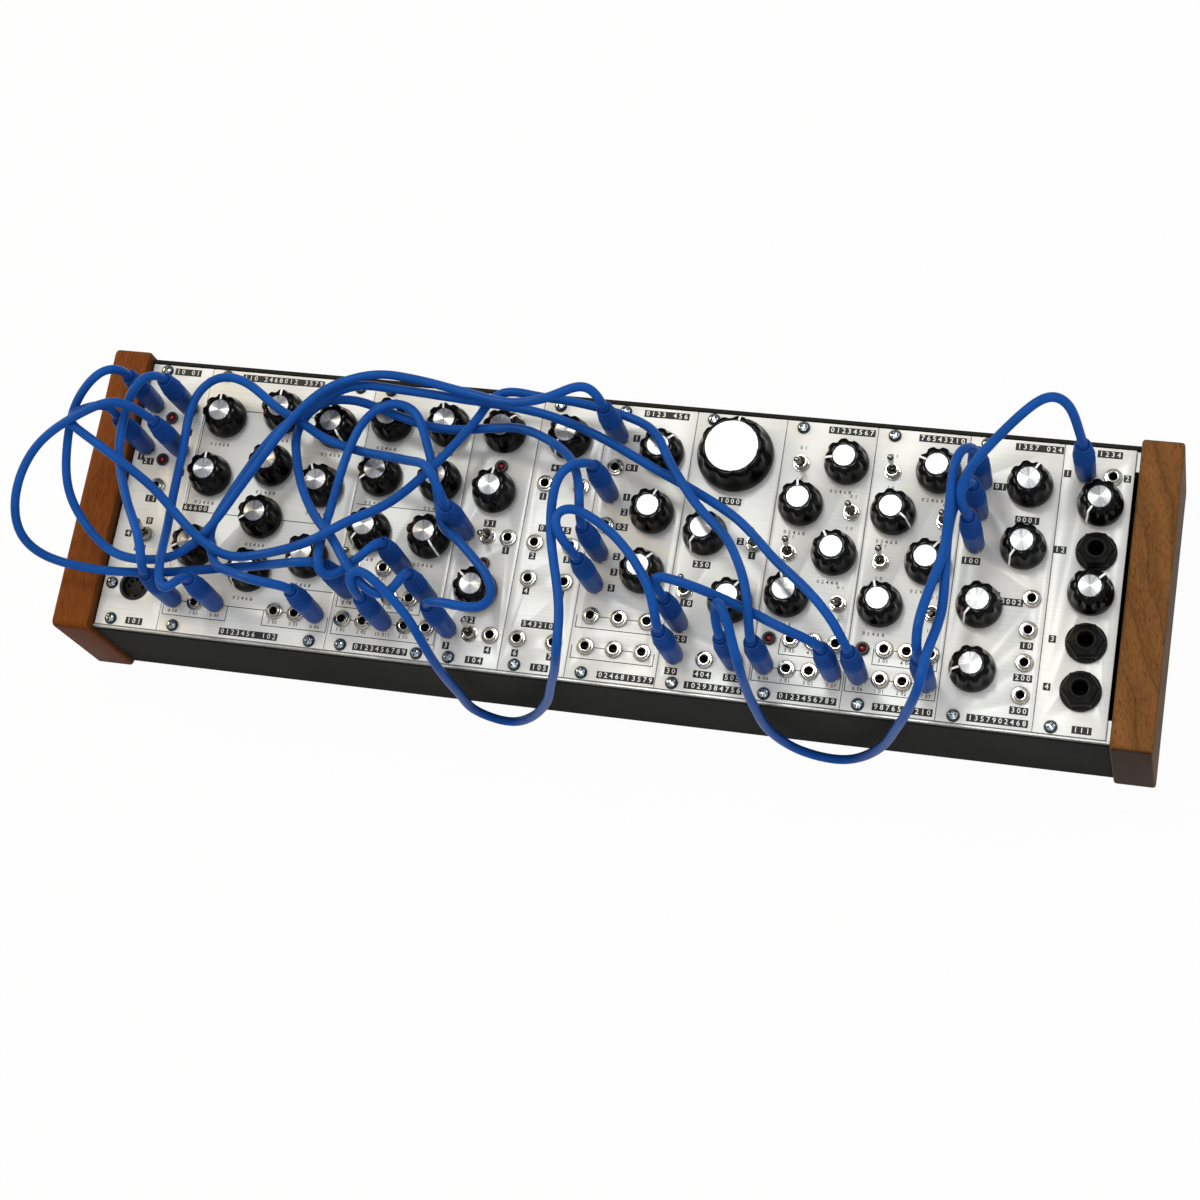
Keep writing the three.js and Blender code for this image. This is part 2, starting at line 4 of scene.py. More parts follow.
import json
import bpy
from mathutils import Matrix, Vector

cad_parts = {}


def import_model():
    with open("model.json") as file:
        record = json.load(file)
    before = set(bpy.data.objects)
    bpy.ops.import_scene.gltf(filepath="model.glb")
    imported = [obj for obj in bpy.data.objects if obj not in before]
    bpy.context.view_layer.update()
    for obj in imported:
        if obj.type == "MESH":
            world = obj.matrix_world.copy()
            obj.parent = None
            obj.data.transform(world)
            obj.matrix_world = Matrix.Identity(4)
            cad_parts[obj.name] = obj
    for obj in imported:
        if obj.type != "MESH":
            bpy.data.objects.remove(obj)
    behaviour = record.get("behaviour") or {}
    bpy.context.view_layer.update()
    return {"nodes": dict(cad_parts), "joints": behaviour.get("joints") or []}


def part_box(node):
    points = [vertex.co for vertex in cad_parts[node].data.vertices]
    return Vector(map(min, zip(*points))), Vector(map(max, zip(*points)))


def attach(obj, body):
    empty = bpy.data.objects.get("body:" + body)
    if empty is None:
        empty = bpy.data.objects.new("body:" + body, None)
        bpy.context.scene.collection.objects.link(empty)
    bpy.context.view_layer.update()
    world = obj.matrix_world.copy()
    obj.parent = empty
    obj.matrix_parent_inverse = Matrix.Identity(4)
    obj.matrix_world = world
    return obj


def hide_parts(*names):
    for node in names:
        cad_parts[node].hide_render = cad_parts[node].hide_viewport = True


bl_info = {
    "name": "Modular synthesizer",
    "version": (1, 0, 0),
    "blender": (4, 5, 0),
    "location": "View3D > Sidebar > Synthesizer",
    "description": "Panels, knobs, switches, jacks, cords and wooden cheeks of a desktop modular synthesizer",
    "category": "Object",
}

from math import cos, pi, radians, sin

import bmesh
import bpy
from bpy.props import FloatProperty, FloatVectorProperty, IntProperty, PointerProperty
from mathutils import Matrix, Vector

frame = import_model()

# Millimetres in a metre, and the distances in millimetres at which points are merged and slivers dissolved
MILLIMETRES = 1000
WELD = 1e-4
SLIVER = 1e-5

# The CAD node of the panels and of all that is screwed to them
FRONT = ("panels_and_rails",)

# Kinds of node that come often
NOISE = "ShaderNodeTexNoise"
RAMP = "ShaderNodeValToRGB"
MATHS = "ShaderNodeMath"
CIRCLE = "GeometryNodeCurvePrimitiveCircle"
COPIES = "GeometryNodeInstanceOnPoints"

# Panels: their lower left corner in the object's own frame, on their face
CORNER = Vector((-229.1, -64.15, 58.0))
UNIT_WIDTH = 5.08
PANEL_HEIGHT = 128.5
PANEL_THICKNESS = 2.0
PANEL_GAP = 0.3
LOW_ROW = 0.115
HOLE_RADII = {"jack": 3.0, "plugged": 3.0, "lamp": 2.7, "outlet": 5.6, "socket": 7.25}


def crossings(columns, rows):
    """Places where columns and rows cross, row by row."""
    return tuple((x, y) for y in rows for x in columns)


# Panels from left to right: width in rack units, and places as shares of the panel's width and height
PANELS = (
    {
        "units": 6,
        "jack": ((0.5, 0.53),),
        "plugged": crossings((0.217, 0.783), (0.835, 0.672)),
        "lamp": crossings((0.5,), (0.795, 0.633)),
        "socket": ((0.5, 0.1541),),
    },
    {
        "units": 16,
        "jack": crossings((0.199, 0.673, 0.797), (LOW_ROW,)),
        "plugged": crossings((0.073, 0.326, 0.922), (LOW_ROW,)),
    },
    {
        "units": 10,
        "jack": (
            *crossings((0.12, 0.315, 0.703, 0.898), (LOW_ROW,)),
            (0.506, 0.215), (0.701, 0.215), (0.406, 0.314),
        ),
        "plugged": ((0.127, 0.215), (0.891, 0.215), (0.611, 0.314), (0.511, LOW_ROW)),
    },
    {
        "units": 6,
        "jack": crossings((0.815,), (0.471, 0.116)),
        "plugged": crossings((0.185,), (0.471, 0.116)),
        "lamp": crossings((0.513,), (0.73, 0.369)),
    },
    {
        "units": 6,
        "jack": crossings((0.226, 0.771), (0.683, 0.464, 0.333, LOW_ROW)),
    },
    {
        "units": 8,
        "jack": crossings((0.177,), (0.767, 0.553)) + crossings((0.185, 0.5, 0.815), (0.225, LOW_ROW)),
        "plugged": crossings((0.177,), (0.875, 0.661, 0.444, 0.332)),
    },
    {
        "units": 8,
        "jack": ((0.5, LOW_ROW),),
        "plugged": ((0.173, 0.227), (0.173, LOW_ROW), (0.828, LOW_ROW)),
    },
    {
        "units": 8,
        "jack": crossings((0.386, 0.632), (LOW_ROW,)) + crossings((0.384, 0.627, 0.871), (0.219,)),
        "plugged": crossings((0.153, 0.878), (LOW_ROW,)),
        "lamp": ((0.155, 0.215),),
    },
    {
        "units": 8,
        "jack": crossings((0.384, 0.62), (LOW_ROW,)) + crossings((0.384, 0.623, 0.873), (0.219,)),
        "plugged": crossings((0.159, 0.875), (LOW_ROW,)),
        "lamp": ((0.155, 0.215),),
    },
    {
        "units": 8,
        "jack": crossings((0.844,), (0.448, 0.338, 0.226, LOW_ROW)),
        "plugged": crossings((0.188,), (0.833, 0.722, 0.611)),
    },
    {
        "units": 6,
        "jack": ((0.709, 0.897),),
        "plugged": ((0.337, 0.894),),
        "outlet": crossings((0.594,), (0.63, 0.315, 0.151)),
    },
)

# Patch cords: the panel and plugged jack of each end, and the route between the plugs
CORDS = (
    ((0, 0), (5, 0), (
        (3, 107, 50), (-2, 103, 53), (-11, 89, 50), (-13.5, 75, 45), (-13, 55, 36), (-8, 44, 30),
        (12, 27, 27), (28, 24.5, 28), (44, 27.5, 29), (58, 41, 31.5), (69.5, 65, 30.5),
        (88, 100, 31), (99, 113, 30.5), (119, 122.5, 28.5), (138, 122, 28.5), (166, 116, 33),
        (189, 110, 42), (207, 110.5, 50), (224, 119, 49),
    )),
    ((0, 2), (7, 0), (
        (5, 90, 47), (-3, 87, 51), (-13, 80, 52), (-3, 73.5, 52.5), (17, 63, 47), (31, 55, 40),
        (43, 45, 34.5), (54, 36.5, 34.3), (71, 28.5, 34), (89.5, 31, 37), (103.5, 32.5, 45),
        (117, 36.5, 51), (127.5, 45, 50), (142, 58, 41), (156, 82, 29), (169, 107, 22),
        (177, 122, 21), (197, 122, 19), (209, 122.5, 16), (234, 118.8, 14), (251, 109.5, 22),
        (261, 94.5, 27), (278, 73.5, 31), (292, 61, 35), (302, 45.5, 44), (307, 35, 50.5),
        (310, 23, 49.3),
    )),
    ((0, 1), (1, 0), (
        (20, 104.5, 50), (16, 99.5, 51), (11.5, 86.5, 45), (12, 70.5, 43.5), (21, 49, 46),
        (33, 30, 50), (36.5, 21, 49),
    )),
    ((0, 3), (2, 0), (
        (17, 88, 54), (11, 88, 59), (-10, 78, 55.5), (-26, 67, 48), (-33, 53.5, 43),
        (-34.5, 40, 38), (-32, 29.5, 31), (-25, 24, 24), (-14, 21.5, 20), (8, 20, 19),
        (35, 22, 19), (61, 25.5, 22), (85, 27, 30), (109, 26.5, 45),
    )),
    ((1, 1), (3, 0), (
        (54.5, 10, 49), (53.5, 5, 52), (49, 7, 50), (44, 19, 44), (36.5, 42, 27), (34.5, 57.5, 24),
        (33.5, 79.5, 22), (32.5, 101, 21.8), (36, 111.5, 21.8), (44, 117.5, 21.8), (56, 116, 21.8),
        (75, 104, 21.8), (90, 97.5, 21.8), (98, 92.5, 22), (118, 87.5, 22), (131, 84.5, 28),
        (146, 80, 38), (160, 74, 51), (164.5, 68, 51),
    )),
    ((1, 2), (8, 0), (
        (97, 14.5, 48), (90, 15, 49), (71, 21.5, 39), (65, 25, 33), (56.5, 42.5, 25.5),
        (60, 54, 25.3), (77, 90.5, 25.2), (86, 100.5, 25.2), (109, 117.5, 24.5), (128, 118, 24),
        (159, 115.5, 26), (180, 114, 26.5), (201, 112, 25), (227, 104.5, 23), (251, 93.5, 22.5),
        (275, 83, 22), (294, 72, 26.5), (304, 63, 32), (317, 50, 40), (328, 41, 46), (340, 30, 50),
        (347, 22, 49),
    )),
    ((2, 2), (3, 1), (
        (138, 33, 47), (125, 22, 44), (120, 20.5, 48), (119, 25, 51), (117, 34, 46.5),
        (112.5, 50, 31.5), (112.5, 66, 28), (113.5, 83, 26.5), (118.5, 101.5, 26),
        (128, 111, 24.5), (141, 108, 25.5), (146, 100, 25.5), (155, 80, 25), (159, 66, 20.5),
        (163.5, 55.5, 25), (176, 46, 38), (185, 38, 41), (196, 27, 46), (199, 15, 51),
        (193, 12, 53), (178, 14, 50),
    )),
    ((2, 1), (5, 2), (
        (156, 21, 47.5), (150, 13.5, 48.7), (136, 22, 50), (120, 40.5, 45), (112.5, 46.5, 41.5),
        (97, 64.5, 27), (89, 79.5, 21), (84.5, 97.5, 17.5), (94, 111, 17.5), (111, 113, 17.5),
        (125, 109, 18), (152, 103, 18), (178, 105.5, 19), (191, 104.5, 25), (207, 98, 30),
        (221, 86.5, 40), (229, 70, 49), (230, 63, 49),
    )),
    ((2, 3), (5, 1), (
        (135, 20, 55), (138, 24, 55), (149, 18, 53.3), (162, 7.5, 46), (168.5, -1.5, 35),
        (171.5, -6.5, 17), (173, -8.5, -15), (175, -9.5, -44), (187, -10, -55.4), (200, -10, -43),
        (216, -9, -9), (222, -7.5, 13), (228, -5.5, 34), (231.5, 0, 51), (229.5, 17, 50),
        (219, 54.5, 50), (220, 76.5, 53), (225, 81, 52),
    )),
    ((5, 3), (6, 1), (
        (224, 49, 54), (221, 56, 55), (226, 61, 54), (247, 52, 51), (267, 29.5, 53), (270, 21, 50),
    )),
    ((6, 0), (7, 1), (
        (268, 32, 48), (266, 35.5, 50.5), (287, 32, 51), (304, 28, 45), (315, 23.5, 47),
        (324, 19, 51), (333, 16.5, 49),
    )),
    ((6, 2), (9, 1), (
        (296, 20.5, 48), (295.5, 25.5, 52), (298, 25.5, 58.5), (302.5, 19, 59.5), (305.5, 11, 56),
        (309, 1.5, 50), (310, -3.5, 28), (311.5, -6.5, 8), (313, -8, -15), (321, -9, -41), (330, -9.5, -50),
        (341.5, -9.5, -53), (351, -9, -45), (363, -8.5, -21), (372.5, -7.5, 12), (377.5, -6, 29),
        (384.5, 2, 52), (385, 13.5, 50), (388.5, 34.5, 44), (387, 59, 42), (386.5, 73, 42.5),
        (389.5, 85, 48), (392, 90.5, 49),
    )),
    ((9, 0), (8, 1), (
        (390.5, 106, 50), (387.5, 99, 55), (387, 80, 52), (386.5, 61, 45.7), (383, 44, 48),
        (380.5, 26, 52), (380.5, 19, 50),
    )),
    ((10, 0), (9, 2), (
        (435, 118, 53), (432, 123.5, 61), (426, 127, 64), (420, 124, 65), (400, 102, 60),
        (392.5, 90.5, 57), (390.3, 81, 51),
    )),
)

# Printing: brackets under and lines between groups of fittings, as (left, bottom, right, top) on the panels
PRINTED_BRACKETS = (
    (31.7, 7.8, 62.6, 14.8), (80.2, 7.8, 111.0, 14.8), (113.6, 7.6, 162.0, 14.8), (113.6, 20.4, 152.9, 27.6),
    (224.9, 9.3, 262.1, 14.8), (224.9, 23.3, 262.1, 28.9), (305.8, 8.3, 344.4, 14.8),
    (316.0, 21.2, 343.6, 28.1), (346.4, 8.3, 385.0, 14.8), (356.6, 21.2, 384.2, 28.1),
)
PRINTED_LINES = (
    (31.5, 109.0, 111.0, 109.0), (31.5, 58.0, 111.0, 58.0), (31.5, 39.0, 70.0, 39.0),
    (70.0, 26.5, 70.0, 39.0), (70.0, 26.5, 111.0, 26.5), (31.7, 58.0, 31.7, 109.0),
    (113.6, 69.5, 162.0, 69.5),
)
# Joins between neighbouring jacks of a group, as (left, right, height)
JOINED_JACKS = (
    (35.0, 106.8, 14.8), (85.0, 103.0, 14.8), (116.5, 160.0, 14.8), (118.0, 150.0, 27.6),
    (228.0, 260.0, 14.8), (228.0, 260.0, 28.9), (309.0, 342.0, 14.8), (320.0, 340.0, 28.1),
    (350.0, 383.0, 14.8), (360.5, 381.0, 28.1),
)
# Numbers in black boxes, with the middle of each box
BOXED_NUMBERS = (
    ("10 01", 18, 125.6), ("110 2468012 3579", 66, 125.6), ("0123 456", 250, 125.6),
    ("01234567", 334, 125.6), ("76543210", 374, 125.6), ("1357 024", 416, 125.6), ("1234", 446, 125.6),
    ("101", 19, 2.9), ("0123456 102", 75, 2.9), ("0123456789", 138, 2.9), ("104", 182, 2.9),
    ("105", 212, 2.9), ("0246813579", 251, 2.9), ("1029384756", 290, 2.9), ("0123456789", 331, 2.9),
    ("9876543210", 372, 2.9), ("1357902468", 412, 2.9), ("111", 447, 2.9),
    ("1", 4, 82), ("2", 25, 96), ("21", 8, 80), ("3", 25.5, 76), ("11", 13.7, 62), ("0", 15.5, 51.3),
    ("12", 13.7, 37.8), ("4", 6.5, 44.2), ("5", 25, 44.2), ("66600", 36.5, 59.6),
    ("31", 177.7, 66.6), ("1", 187.2, 54.7), ("2", 167.9, 54.7), ("32", 176.3, 21), ("3", 167.9, 8.2),
    ("4", 187.2, 8.2), ("41", 204, 95.7), ("1", 199.8, 81.8), ("012345", 207.9, 66.9), ("2", 199.8, 53.5),
    ("3", 215.8, 53.5), ("4", 199.8, 37.1), ("5", 215.8, 37.1), ("543210", 207.9, 22.2), ("6", 199.8, 8.3),
    ("7", 215.8, 8.3), ("1", 238, 113.3), ("01", 238, 99.2), ("1", 238, 85.2), ("2", 238, 78.1),
    ("02", 238, 71.1), ("2", 238, 57.2), ("3", 238, 50.0), ("3", 238, 42.6), ("1000", 284.5, 88),
    ("250", 276.5, 57.6), ("01", 291, 26.3), ("1", 298, 64), ("2", 292, 70), ("10", 272.5, 39.4),
    ("20", 272.5, 23.0), ("30", 270.5, 8.2), ("404", 284.4, 8.2), ("505", 297.6, 8.2), ("01", 401, 106.5),
    ("0001", 414.3, 92.4), ("100", 392.7, 71.7), ("0002", 411.7, 55.2), ("02", 404, 57.5),
    ("10", 420.4, 36.7), ("200", 420.4, 22.5), ("300", 420.4, 8.2), ("1", 429, 115.3),
    ("2", 454.3, 115.3), ("12", 429.5, 80.6), ("3", 430.7, 41), ("4", 430.7, 20),
)

# Heights over the panels: the underside of all printing, the tops of lines, joins and boxes, and the middle
# of the figures
INK_UNDERSIDE = 0.005
LINE_TOP = 0.05
JOIN_TOP = 0.045
BOX_TOP = 0.06
FIGURE_MIDDLE = 0.07
FINE_MIDDLE = 0.03
FIGURE_THICKNESS = 0.04
# Boxed figures: the box, and the figures' pitch, which is wider along the panels' edges
BOX_HALF_HEIGHT = 1.65
BOX_MARGIN = 0.7
FIGURE_HEIGHT = 2.35
FIGURE_BOLD = 0.03
FIGURE_PITCH = 2.4
TITLE_PITCH = 2.5
TITLE_BAND = 8.0
# The lettering's own size over the height of its figures
SIZE_OVER_HEIGHT = 1.4
# Fine numbers, the panels whose knobs, switches and jack rows carry them, and their place beside each
FINE_HEIGHT = 1.6
FINE_BOLD = 0.025
FINE_SPACING = 1.15
FINE_NUMBERED_PANELS = (1, 2, 7, 8)
BESIDE_KNOB = (-1.5, -12.4)
OVER_TOGGLE = 7.6
UNDER_TOGGLE = 7.2
UNDER_JACK = 5.0

# Panel screws: their distance from the panel's side and edge, and from the middle of the round socket
SCREW_INSET = 7.5
SCREW_EDGE = 3.0
SOCKET_SCREW_REACH = 11
PAIRED_SCREW_PANELS = (1, 2)

# Outlines of turned parts, as radius and height over the panels or the part's own seat
PLUG_SLEEVE = (
    (3.2, 0.9), (4.1, 0.9), (4.35, 1.2), (4.42, 2.5), (4.75, 20.0), (4.7, 21.2), (4.35, 21.9), (4.2, 22.4),
    (3.4, 22.9), (2.9, 24.0), (2.3, 37.4), (2.35, 38.6), (1.9, 39.0), (1.9, 36.0),
)
PLUG_TIP = ((1.7, -2.6), (1.7, 0.0), (3.55, 0.0), (3.75, 0.25), (3.75, 1.1), (3.3, 1.4))
JACK_WELL = ((0, -7.5), (1.74, -7.5), (1.74, 1.9), (1.9, 1.2), (1.95, -8), (0, -8))
OUTLET_FLANGE = ((6.0, 0), (8.6, 0), (8.8, 0.2), (8.8, 1.3), (8.6, 1.8), (8.1, 2.05), (6.0, 2.1))
OUTLET_NUT = (
    (8.5, 1.9), (8.45, 3.0), (8.35, 4.4), (8.0, 5.2), (7.4, 5.75), (6.6, 6.15), (5.7, 6.45), (5.1, 6.7),
    (4.8, 7.05), (4.4, 7.35), (3.9, 7.4), (3.5, 7.2), (3.3, 6.8), (3.25, -9.5), (0, -9.5),
)
LAMP_LENS = ((1.5, -1.5), (1.5, 0.5), (1.35, 1.0), (0.95, 1.45), (0.5, 1.65), (0, 1.72))
SOCKET_CUP = (
    (5.6, -4.9), (5.6, 0.0), (5.9, 0.35), (7.0, 0.35), (7.15, 0.1), (7.15, -8.0), (0, -8.0), (0, -4.9),
)
SCREW_HEAD = ((0, 2.0), (1.1, 1.95), (1.9, 1.7), (2.5, 1.15), (2.85, 0.45), (2.9, 0.0), (0, 0.0))
KNOB_BODY = (
    (0, 0.2), (8.6, 0.2), (9.6, 0.0), (10.0, 0.4), (10.0, 1.4), (9.85, 2.8), (9.5, 4.2), (9.15, 5.4),
    (8.9, 6.8), (8.65, 8.6), (8.4, 10.0), (8.15, 10.7), (7.7, 11.0), (6.4, 11.2), (5.3, 11.3),
    (5.15, 11.25), (5.0, 10.9), (0, 10.9),
)
DIAL_BODY = (
    (0, 0.2), (15.6, 0.2), (16.8, 0.0), (17.2, 0.5), (17.2, 1.8), (17.0, 3.2), (16.4, 4.8), (15.8, 6.2),
    (15.4, 7.8), (15.0, 9.8), (14.7, 11.4), (14.4, 12.2), (13.9, 12.6), (12.9, 12.8), (12.2, 12.85),
    (12.1, 12.8), (11.95, 12.4), (0, 12.4),
)
TOGGLE_LEVER = (
    (0, -1.6), (0.9, -1.35), (1.5, -0.7), (1.6, 0.0), (1.45, 0.7), (1.0, 1.3), (0.95, 3.0), (1.05, 6.0),
    (1.3, 10.2), (1.5, 11.6), (1.42, 12.4), (1.05, 13.1), (0.5, 13.45), (0, 13.55),
)
TOGGLE_NUT = ((2.45, 0.9), (3.25, 0.9), (3.4, 1.1), (3.4, 2.2), (3.2, 2.45), (2.45, 2.45))
TOGGLE_BUSH = ((2.9, 0), (2.9, 3.9), (2.7, 4.2), (2.5, 4.2), (2.35, 3.9), (2.35, -2), (2.9, -2))
TOGGLE_INSIDE = ((0, -2.6), (2.36, -2.6), (2.36, 0.2), (1.9, -0.9), (0, -0.9))

# Rails, as places across the panels and heights: the front one has a lip, both have a slot for nuts
FRONT_RAIL = (
    (0, -11), (9, -11), (9, -8.2), (6.2, -8.2), (6.2, -5.2), (9, -5.2), (9, -2.05), (-0.35, -2.05),
    (-0.35, -0.35), (-0.5, -0.3), (-1.2, -0.3), (-1.3, -0.4), (-1.3, -3.2), (0, -3.2),
)
REAR_RAIL = (
    (119.5, -11), (128.8, -11), (128.8, -2.05), (119.5, -2.05), (119.5, -5.2), (122.3, -5.2),
    (122.3, -8.2), (119.5, -8.2),
)

# Rings: outer radius, bore radius, height and rounding of the edge. A property gives a size left out here.
NUT_HEIGHT = 1.2
NUT_EDGE = 0.35
NUT_BORE_GAP = 0.2
COLLAR_RADIUS = 2.9
COLLAR_HEIGHT = 2.2
COLLAR_EDGE = 0.3
LAMP_BEZEL = (3.0, 1.5, 1.4, 0.5)
TOGGLE_WASHER = (3.8, 2.9, 0.8, 0.2)

# Plugs: their seat over the panels, the cord's heights in and over the sleeve, and the ribs in metres
PLUG_SEAT = 2.5
CORD_RISES = (16, 38, 42)
PLUG_RIBS = {
    "First_radius": 0.0038,
    "Last_radius": 0.0029,
    "Spacing": 0.0026,
    "Thickness": 0.001,
    "Start_height": 0.0252,
}

# Round socket: its insert, pin holes and key notch
INSERT_RADIUS = 5.45
INSERT_LOW = -4.6
INSERT_HIGH = -2.2
INSERT_EDGE = 0.15
PIN_CIRCLE = 3.4
PIN_RADIUS = 0.75
PIN_ANGLES = (-90, -45, 0, 45, 90)
KEY_HALF_WIDTH = 1.1
KEY_OUTER = 5.6
KEY_INNER = 4.4
KEY_LOW = -4.0
KEY_HIGH = 0.1

# Screws' cross recess
RECESS_REACH = 1.7
RECESS_HALF_WIDTH = 0.42
RECESS_FLOOR = 0.5
RECESS_TOP = 2.6

# Large jacks' nuts: where the hexagon begins and is whole, and how far the nuts are turned, in degrees
HEXAGON_START = 5.2
HEXAGON_SPAN = 2.6
OUTLET_TURN = -7

# Knobs: the seat over the panels, and the cap's rise over the crown. The cap's outline has steps of radius
# and height from its foot on the crown and from its rim, and is dished from a share of its radius inwards
KNOB_SEAT = 2.2
CAP_RISE = 0.65
CAP_FOOT = ((-0.1, -0.2), (0, 0.1))
CAP_RIM = ((0, -0.2), (-0.22, 0), (-0.5, 0.03))
CAP_DISH = 0.02
CAP_DISH_SHARES = (0.8, 0.4, 0)
# Flutes: their depth, and how wide they are as a level of the cosine round the knob. They start at one share
# of the crown's height and deepen over the next, and in the same way outside the cap
FLUTE_DEPTH = 1.1
FLUTE_LEVEL = 0.35
FLUTE_START_SHARE = 0.28
FLUTE_SPAN_SHARE = 0.5
FLUTE_RIM = 0.6
FLUTE_RIM_SPAN = 1.6
# Pointers: the gap to the cap, the lowest place on the skirt, where crown and skirt part, how far they stand
# off both and how far their backs lie inside both
POINTER_GAP = 0.2
POINTER_LOW = 0.25
SHOULDER_DROP = 0.2
SKIRT_OUT = 3
POINTER_OUT = 0.06
POINTER_UP = 0.05
POINTER_ROOT_IN = 0.35
POINTER_ROOT_DOWN = 0.3

# Toggles: the pivot's height over the panels and the nut's turn in degrees
TOGGLE_PIVOT = 1.0
TOGGLE_NUT_TURN = 30

# Cheeks: rounding of the board's corners and edges
CHEEK_CORNER = 3.0
CHEEK_EDGE = 1.4

# Lamps: name, place and size in metres, power in watts and tint
LAMPS = (
    ("key_left", (-1.5, 0.5, 1.0), 0.8, 11.0, (1.0, 0.74, 0.34)),
    ("key_right", (1.1, 0.7, 1.1), 0.7, 2.0, (0.84, 0.97, 1.0)),
    ("fill", (0.75, -0.75, 1.0), 0.16, 0.9, (0.9, 0.97, 1.0)),
    ("top", (-0.24, 0.57, 1.9), 0.35, 6.8, (0.96, 1.0, 0.98)),
)
FLOOR_HALF = 3.0


def linear(code):
    """A colour as written in sRGB hex, turned linear, with full alpha."""
    parts = [int(code[i : i + 2], 16) / 255 for i in (1, 3, 5)]
    return tuple(c / 12.92 if c <= 0.04045 else ((c + 0.055) / 1.055) ** 2.4 for c in parts) + (1.0,)


def colour_property(name, description, code):
    """A colour that a user may change, written as sRGB hex."""
    return FloatVectorProperty(
        name=name, description=description, subtype="COLOR", size=4, min=0, max=1, default=linear(code)
    )


def length_property(name, description, millimetres):
    """A length that a user may change."""
    return FloatProperty(
        name=name,
        description=description,
        subtype="DISTANCE",
        unit="LENGTH",
        default=millimetres / MILLIMETRES,
    )


class SynthSizes(bpy.types.PropertyGroup):
    """Sizes of the repeated fittings"""

    cord_diameter: length_property("Cord diameter", "Outside diameter of a patch cord", 4.2)
    cap_radius: length_property("Cap radius", "Radius of a small knob's spun cap", 4.95)
    dial_cap_radius: length_property("Large cap radius", "Radius of the large knob's spun cap", 11.9)
    jack_radius: length_property("Jack nut radius", "Outside radius of a small jack's round nut", 3.9)
    jack_bore: length_property("Jack bore radius", "Radius of a small jack's bore", 1.75)
    pointer_width: length_property("Pointer width", "Width of a knob's white line", 0.9)
    line_width: length_property("Printed line width", "Width of a printed line", 0.34)
    plate_round: length_property("Panel edge", "Rounding of a panel's edges", 0.16)
    rib_count: IntProperty(name="Ribs", description="Ribs on a plug's relief", default=5, min=1, max=12)


class SynthColours(bpy.types.PropertyGroup):
    """Colours of the finishes"""

    panel: colour_property("Panel", "Brushed aluminium of the panels", "#E3E2DE")
    print_ink: colour_property("Printing", "Ink of lines and numbers", "#1B1B1B")
    knob: colour_property("Knob", "Moulded knob bodies", "#070708")
    cap: colour_property("Cap", "Spun aluminium caps", "#E9E9EA")
    cord: colour_property("Cord", "Sheath of the patch cords", "#14468F")
    plug: colour_property("Plug", "Moulded sleeves of the plugs", "#133D80")
    case: colour_property("Case", "Powder coat of the trough", "#252522")
    cheek_left: colour_property("Left cheek", "Oiled wood of the left cheek", "#6E3912")
    cheek_right: colour_property("Right cheek", "Oiled wood of the right cheek", "#704925")
    floor: colour_property("Floor", "Paper under the object", "#C4C4C4")


def sizes():
    """The sizes as the user has them."""
    return bpy.context.scene.synth_sizes


def colours():
    """The colours as the user has them."""
    return bpy.context.scene.synth_colours


# Materials


def join(tree, source, socket):
    """Links an output, or a node's first output, to a socket."""
    tree.links.new(source.outputs[0] if isinstance(source, bpy.types.Node) else source, socket)


def add_node(tree, kind, inputs=None, stops=(), **settings):
    """Adds a node, sets its properties and a ramp's stops, and sets or links its inputs."""
    made = tree.nodes.new(kind)
    for name, value in settings.items():
        setattr(made, name, value)
    for name, value in (inputs or {}).items():
        if isinstance(value, (bpy.types.Node, bpy.types.NodeSocket)):
            join(tree, value, made.inputs[name])
        else:
            made.inputs[name].default_value = value
    if stops:
        made.color_ramp.elements.remove(made.color_ramp.elements[1])
    for i, (position, colour) in enumerate(stops):
        stop = made.color_ramp.elements[0] if i == 0 else made.color_ramp.elements.new(position)
        stop.position = position
        stop.color = colour
    return made


def start_material(name, **constants):
    """A material with its Principled shader and output, the constants on the shader's own sockets, where
    underscores stand for spaces, and the object's coordinates."""
    material = bpy.data.materials.new(name)
    material.use_nodes = True
    tree = material.node_tree
    tree.nodes.clear()
    shader = add_node(tree, "ShaderNodeBsdfPrincipled")
    for label, value in constants.items():
        shader.inputs[label.replace("_", " ")].default_value = value
    add_node(tree, "ShaderNodeOutputMaterial", {"Surface": shader})
    place = add_node(tree, "ShaderNodeTexCoord").outputs["Object"]
    return material, tree, shader, place


def close_material(tree, shader, tone, gloss, rough, height, strength, depth):
    """Joins the colour, a roughness between two values and a relief of a depth in metres to the shader."""
    spread = add_node(tree, "ShaderNodeMapRange", {"Value": gloss, "To Min": rough[0], "To Max": rough[1]})
    bump = add_node(tree, "ShaderNodeBump", {"Height": height, "Strength": strength, "Distance": depth})
    join(tree, tone, shader.inputs["Base Color"])
    join(tree, spread, shader.inputs["Roughness"])
    join(tree, bump, shader.inputs["Normal"])


def tinted(colour, factor):
    """A lighter or darker version of a linear colour."""
    return tuple(min(1.0, c * factor) for c in colour[:3]) + (1.0,)


def grey(level):
    """A neutral layer that darkens below 1 and lightens above it."""
    return (level, level, level, 1.0)


def tones(colour, *steps):
    """Stops for a ramp, from pairs of position and factor on the colour."""
    return [(position, tinted(colour, factor)) for position, factor in steps]


def layered(tree, tone, *layers):
    """A colour multiplied by each layer in turn."""
    for layer in layers:
        values = {"Fac": 1.0, "Color1": tone, "Color2": layer}
        tone = add_node(tree, "ShaderNodeMixRGB", values, blend_type="MULTIPLY")
    return tone


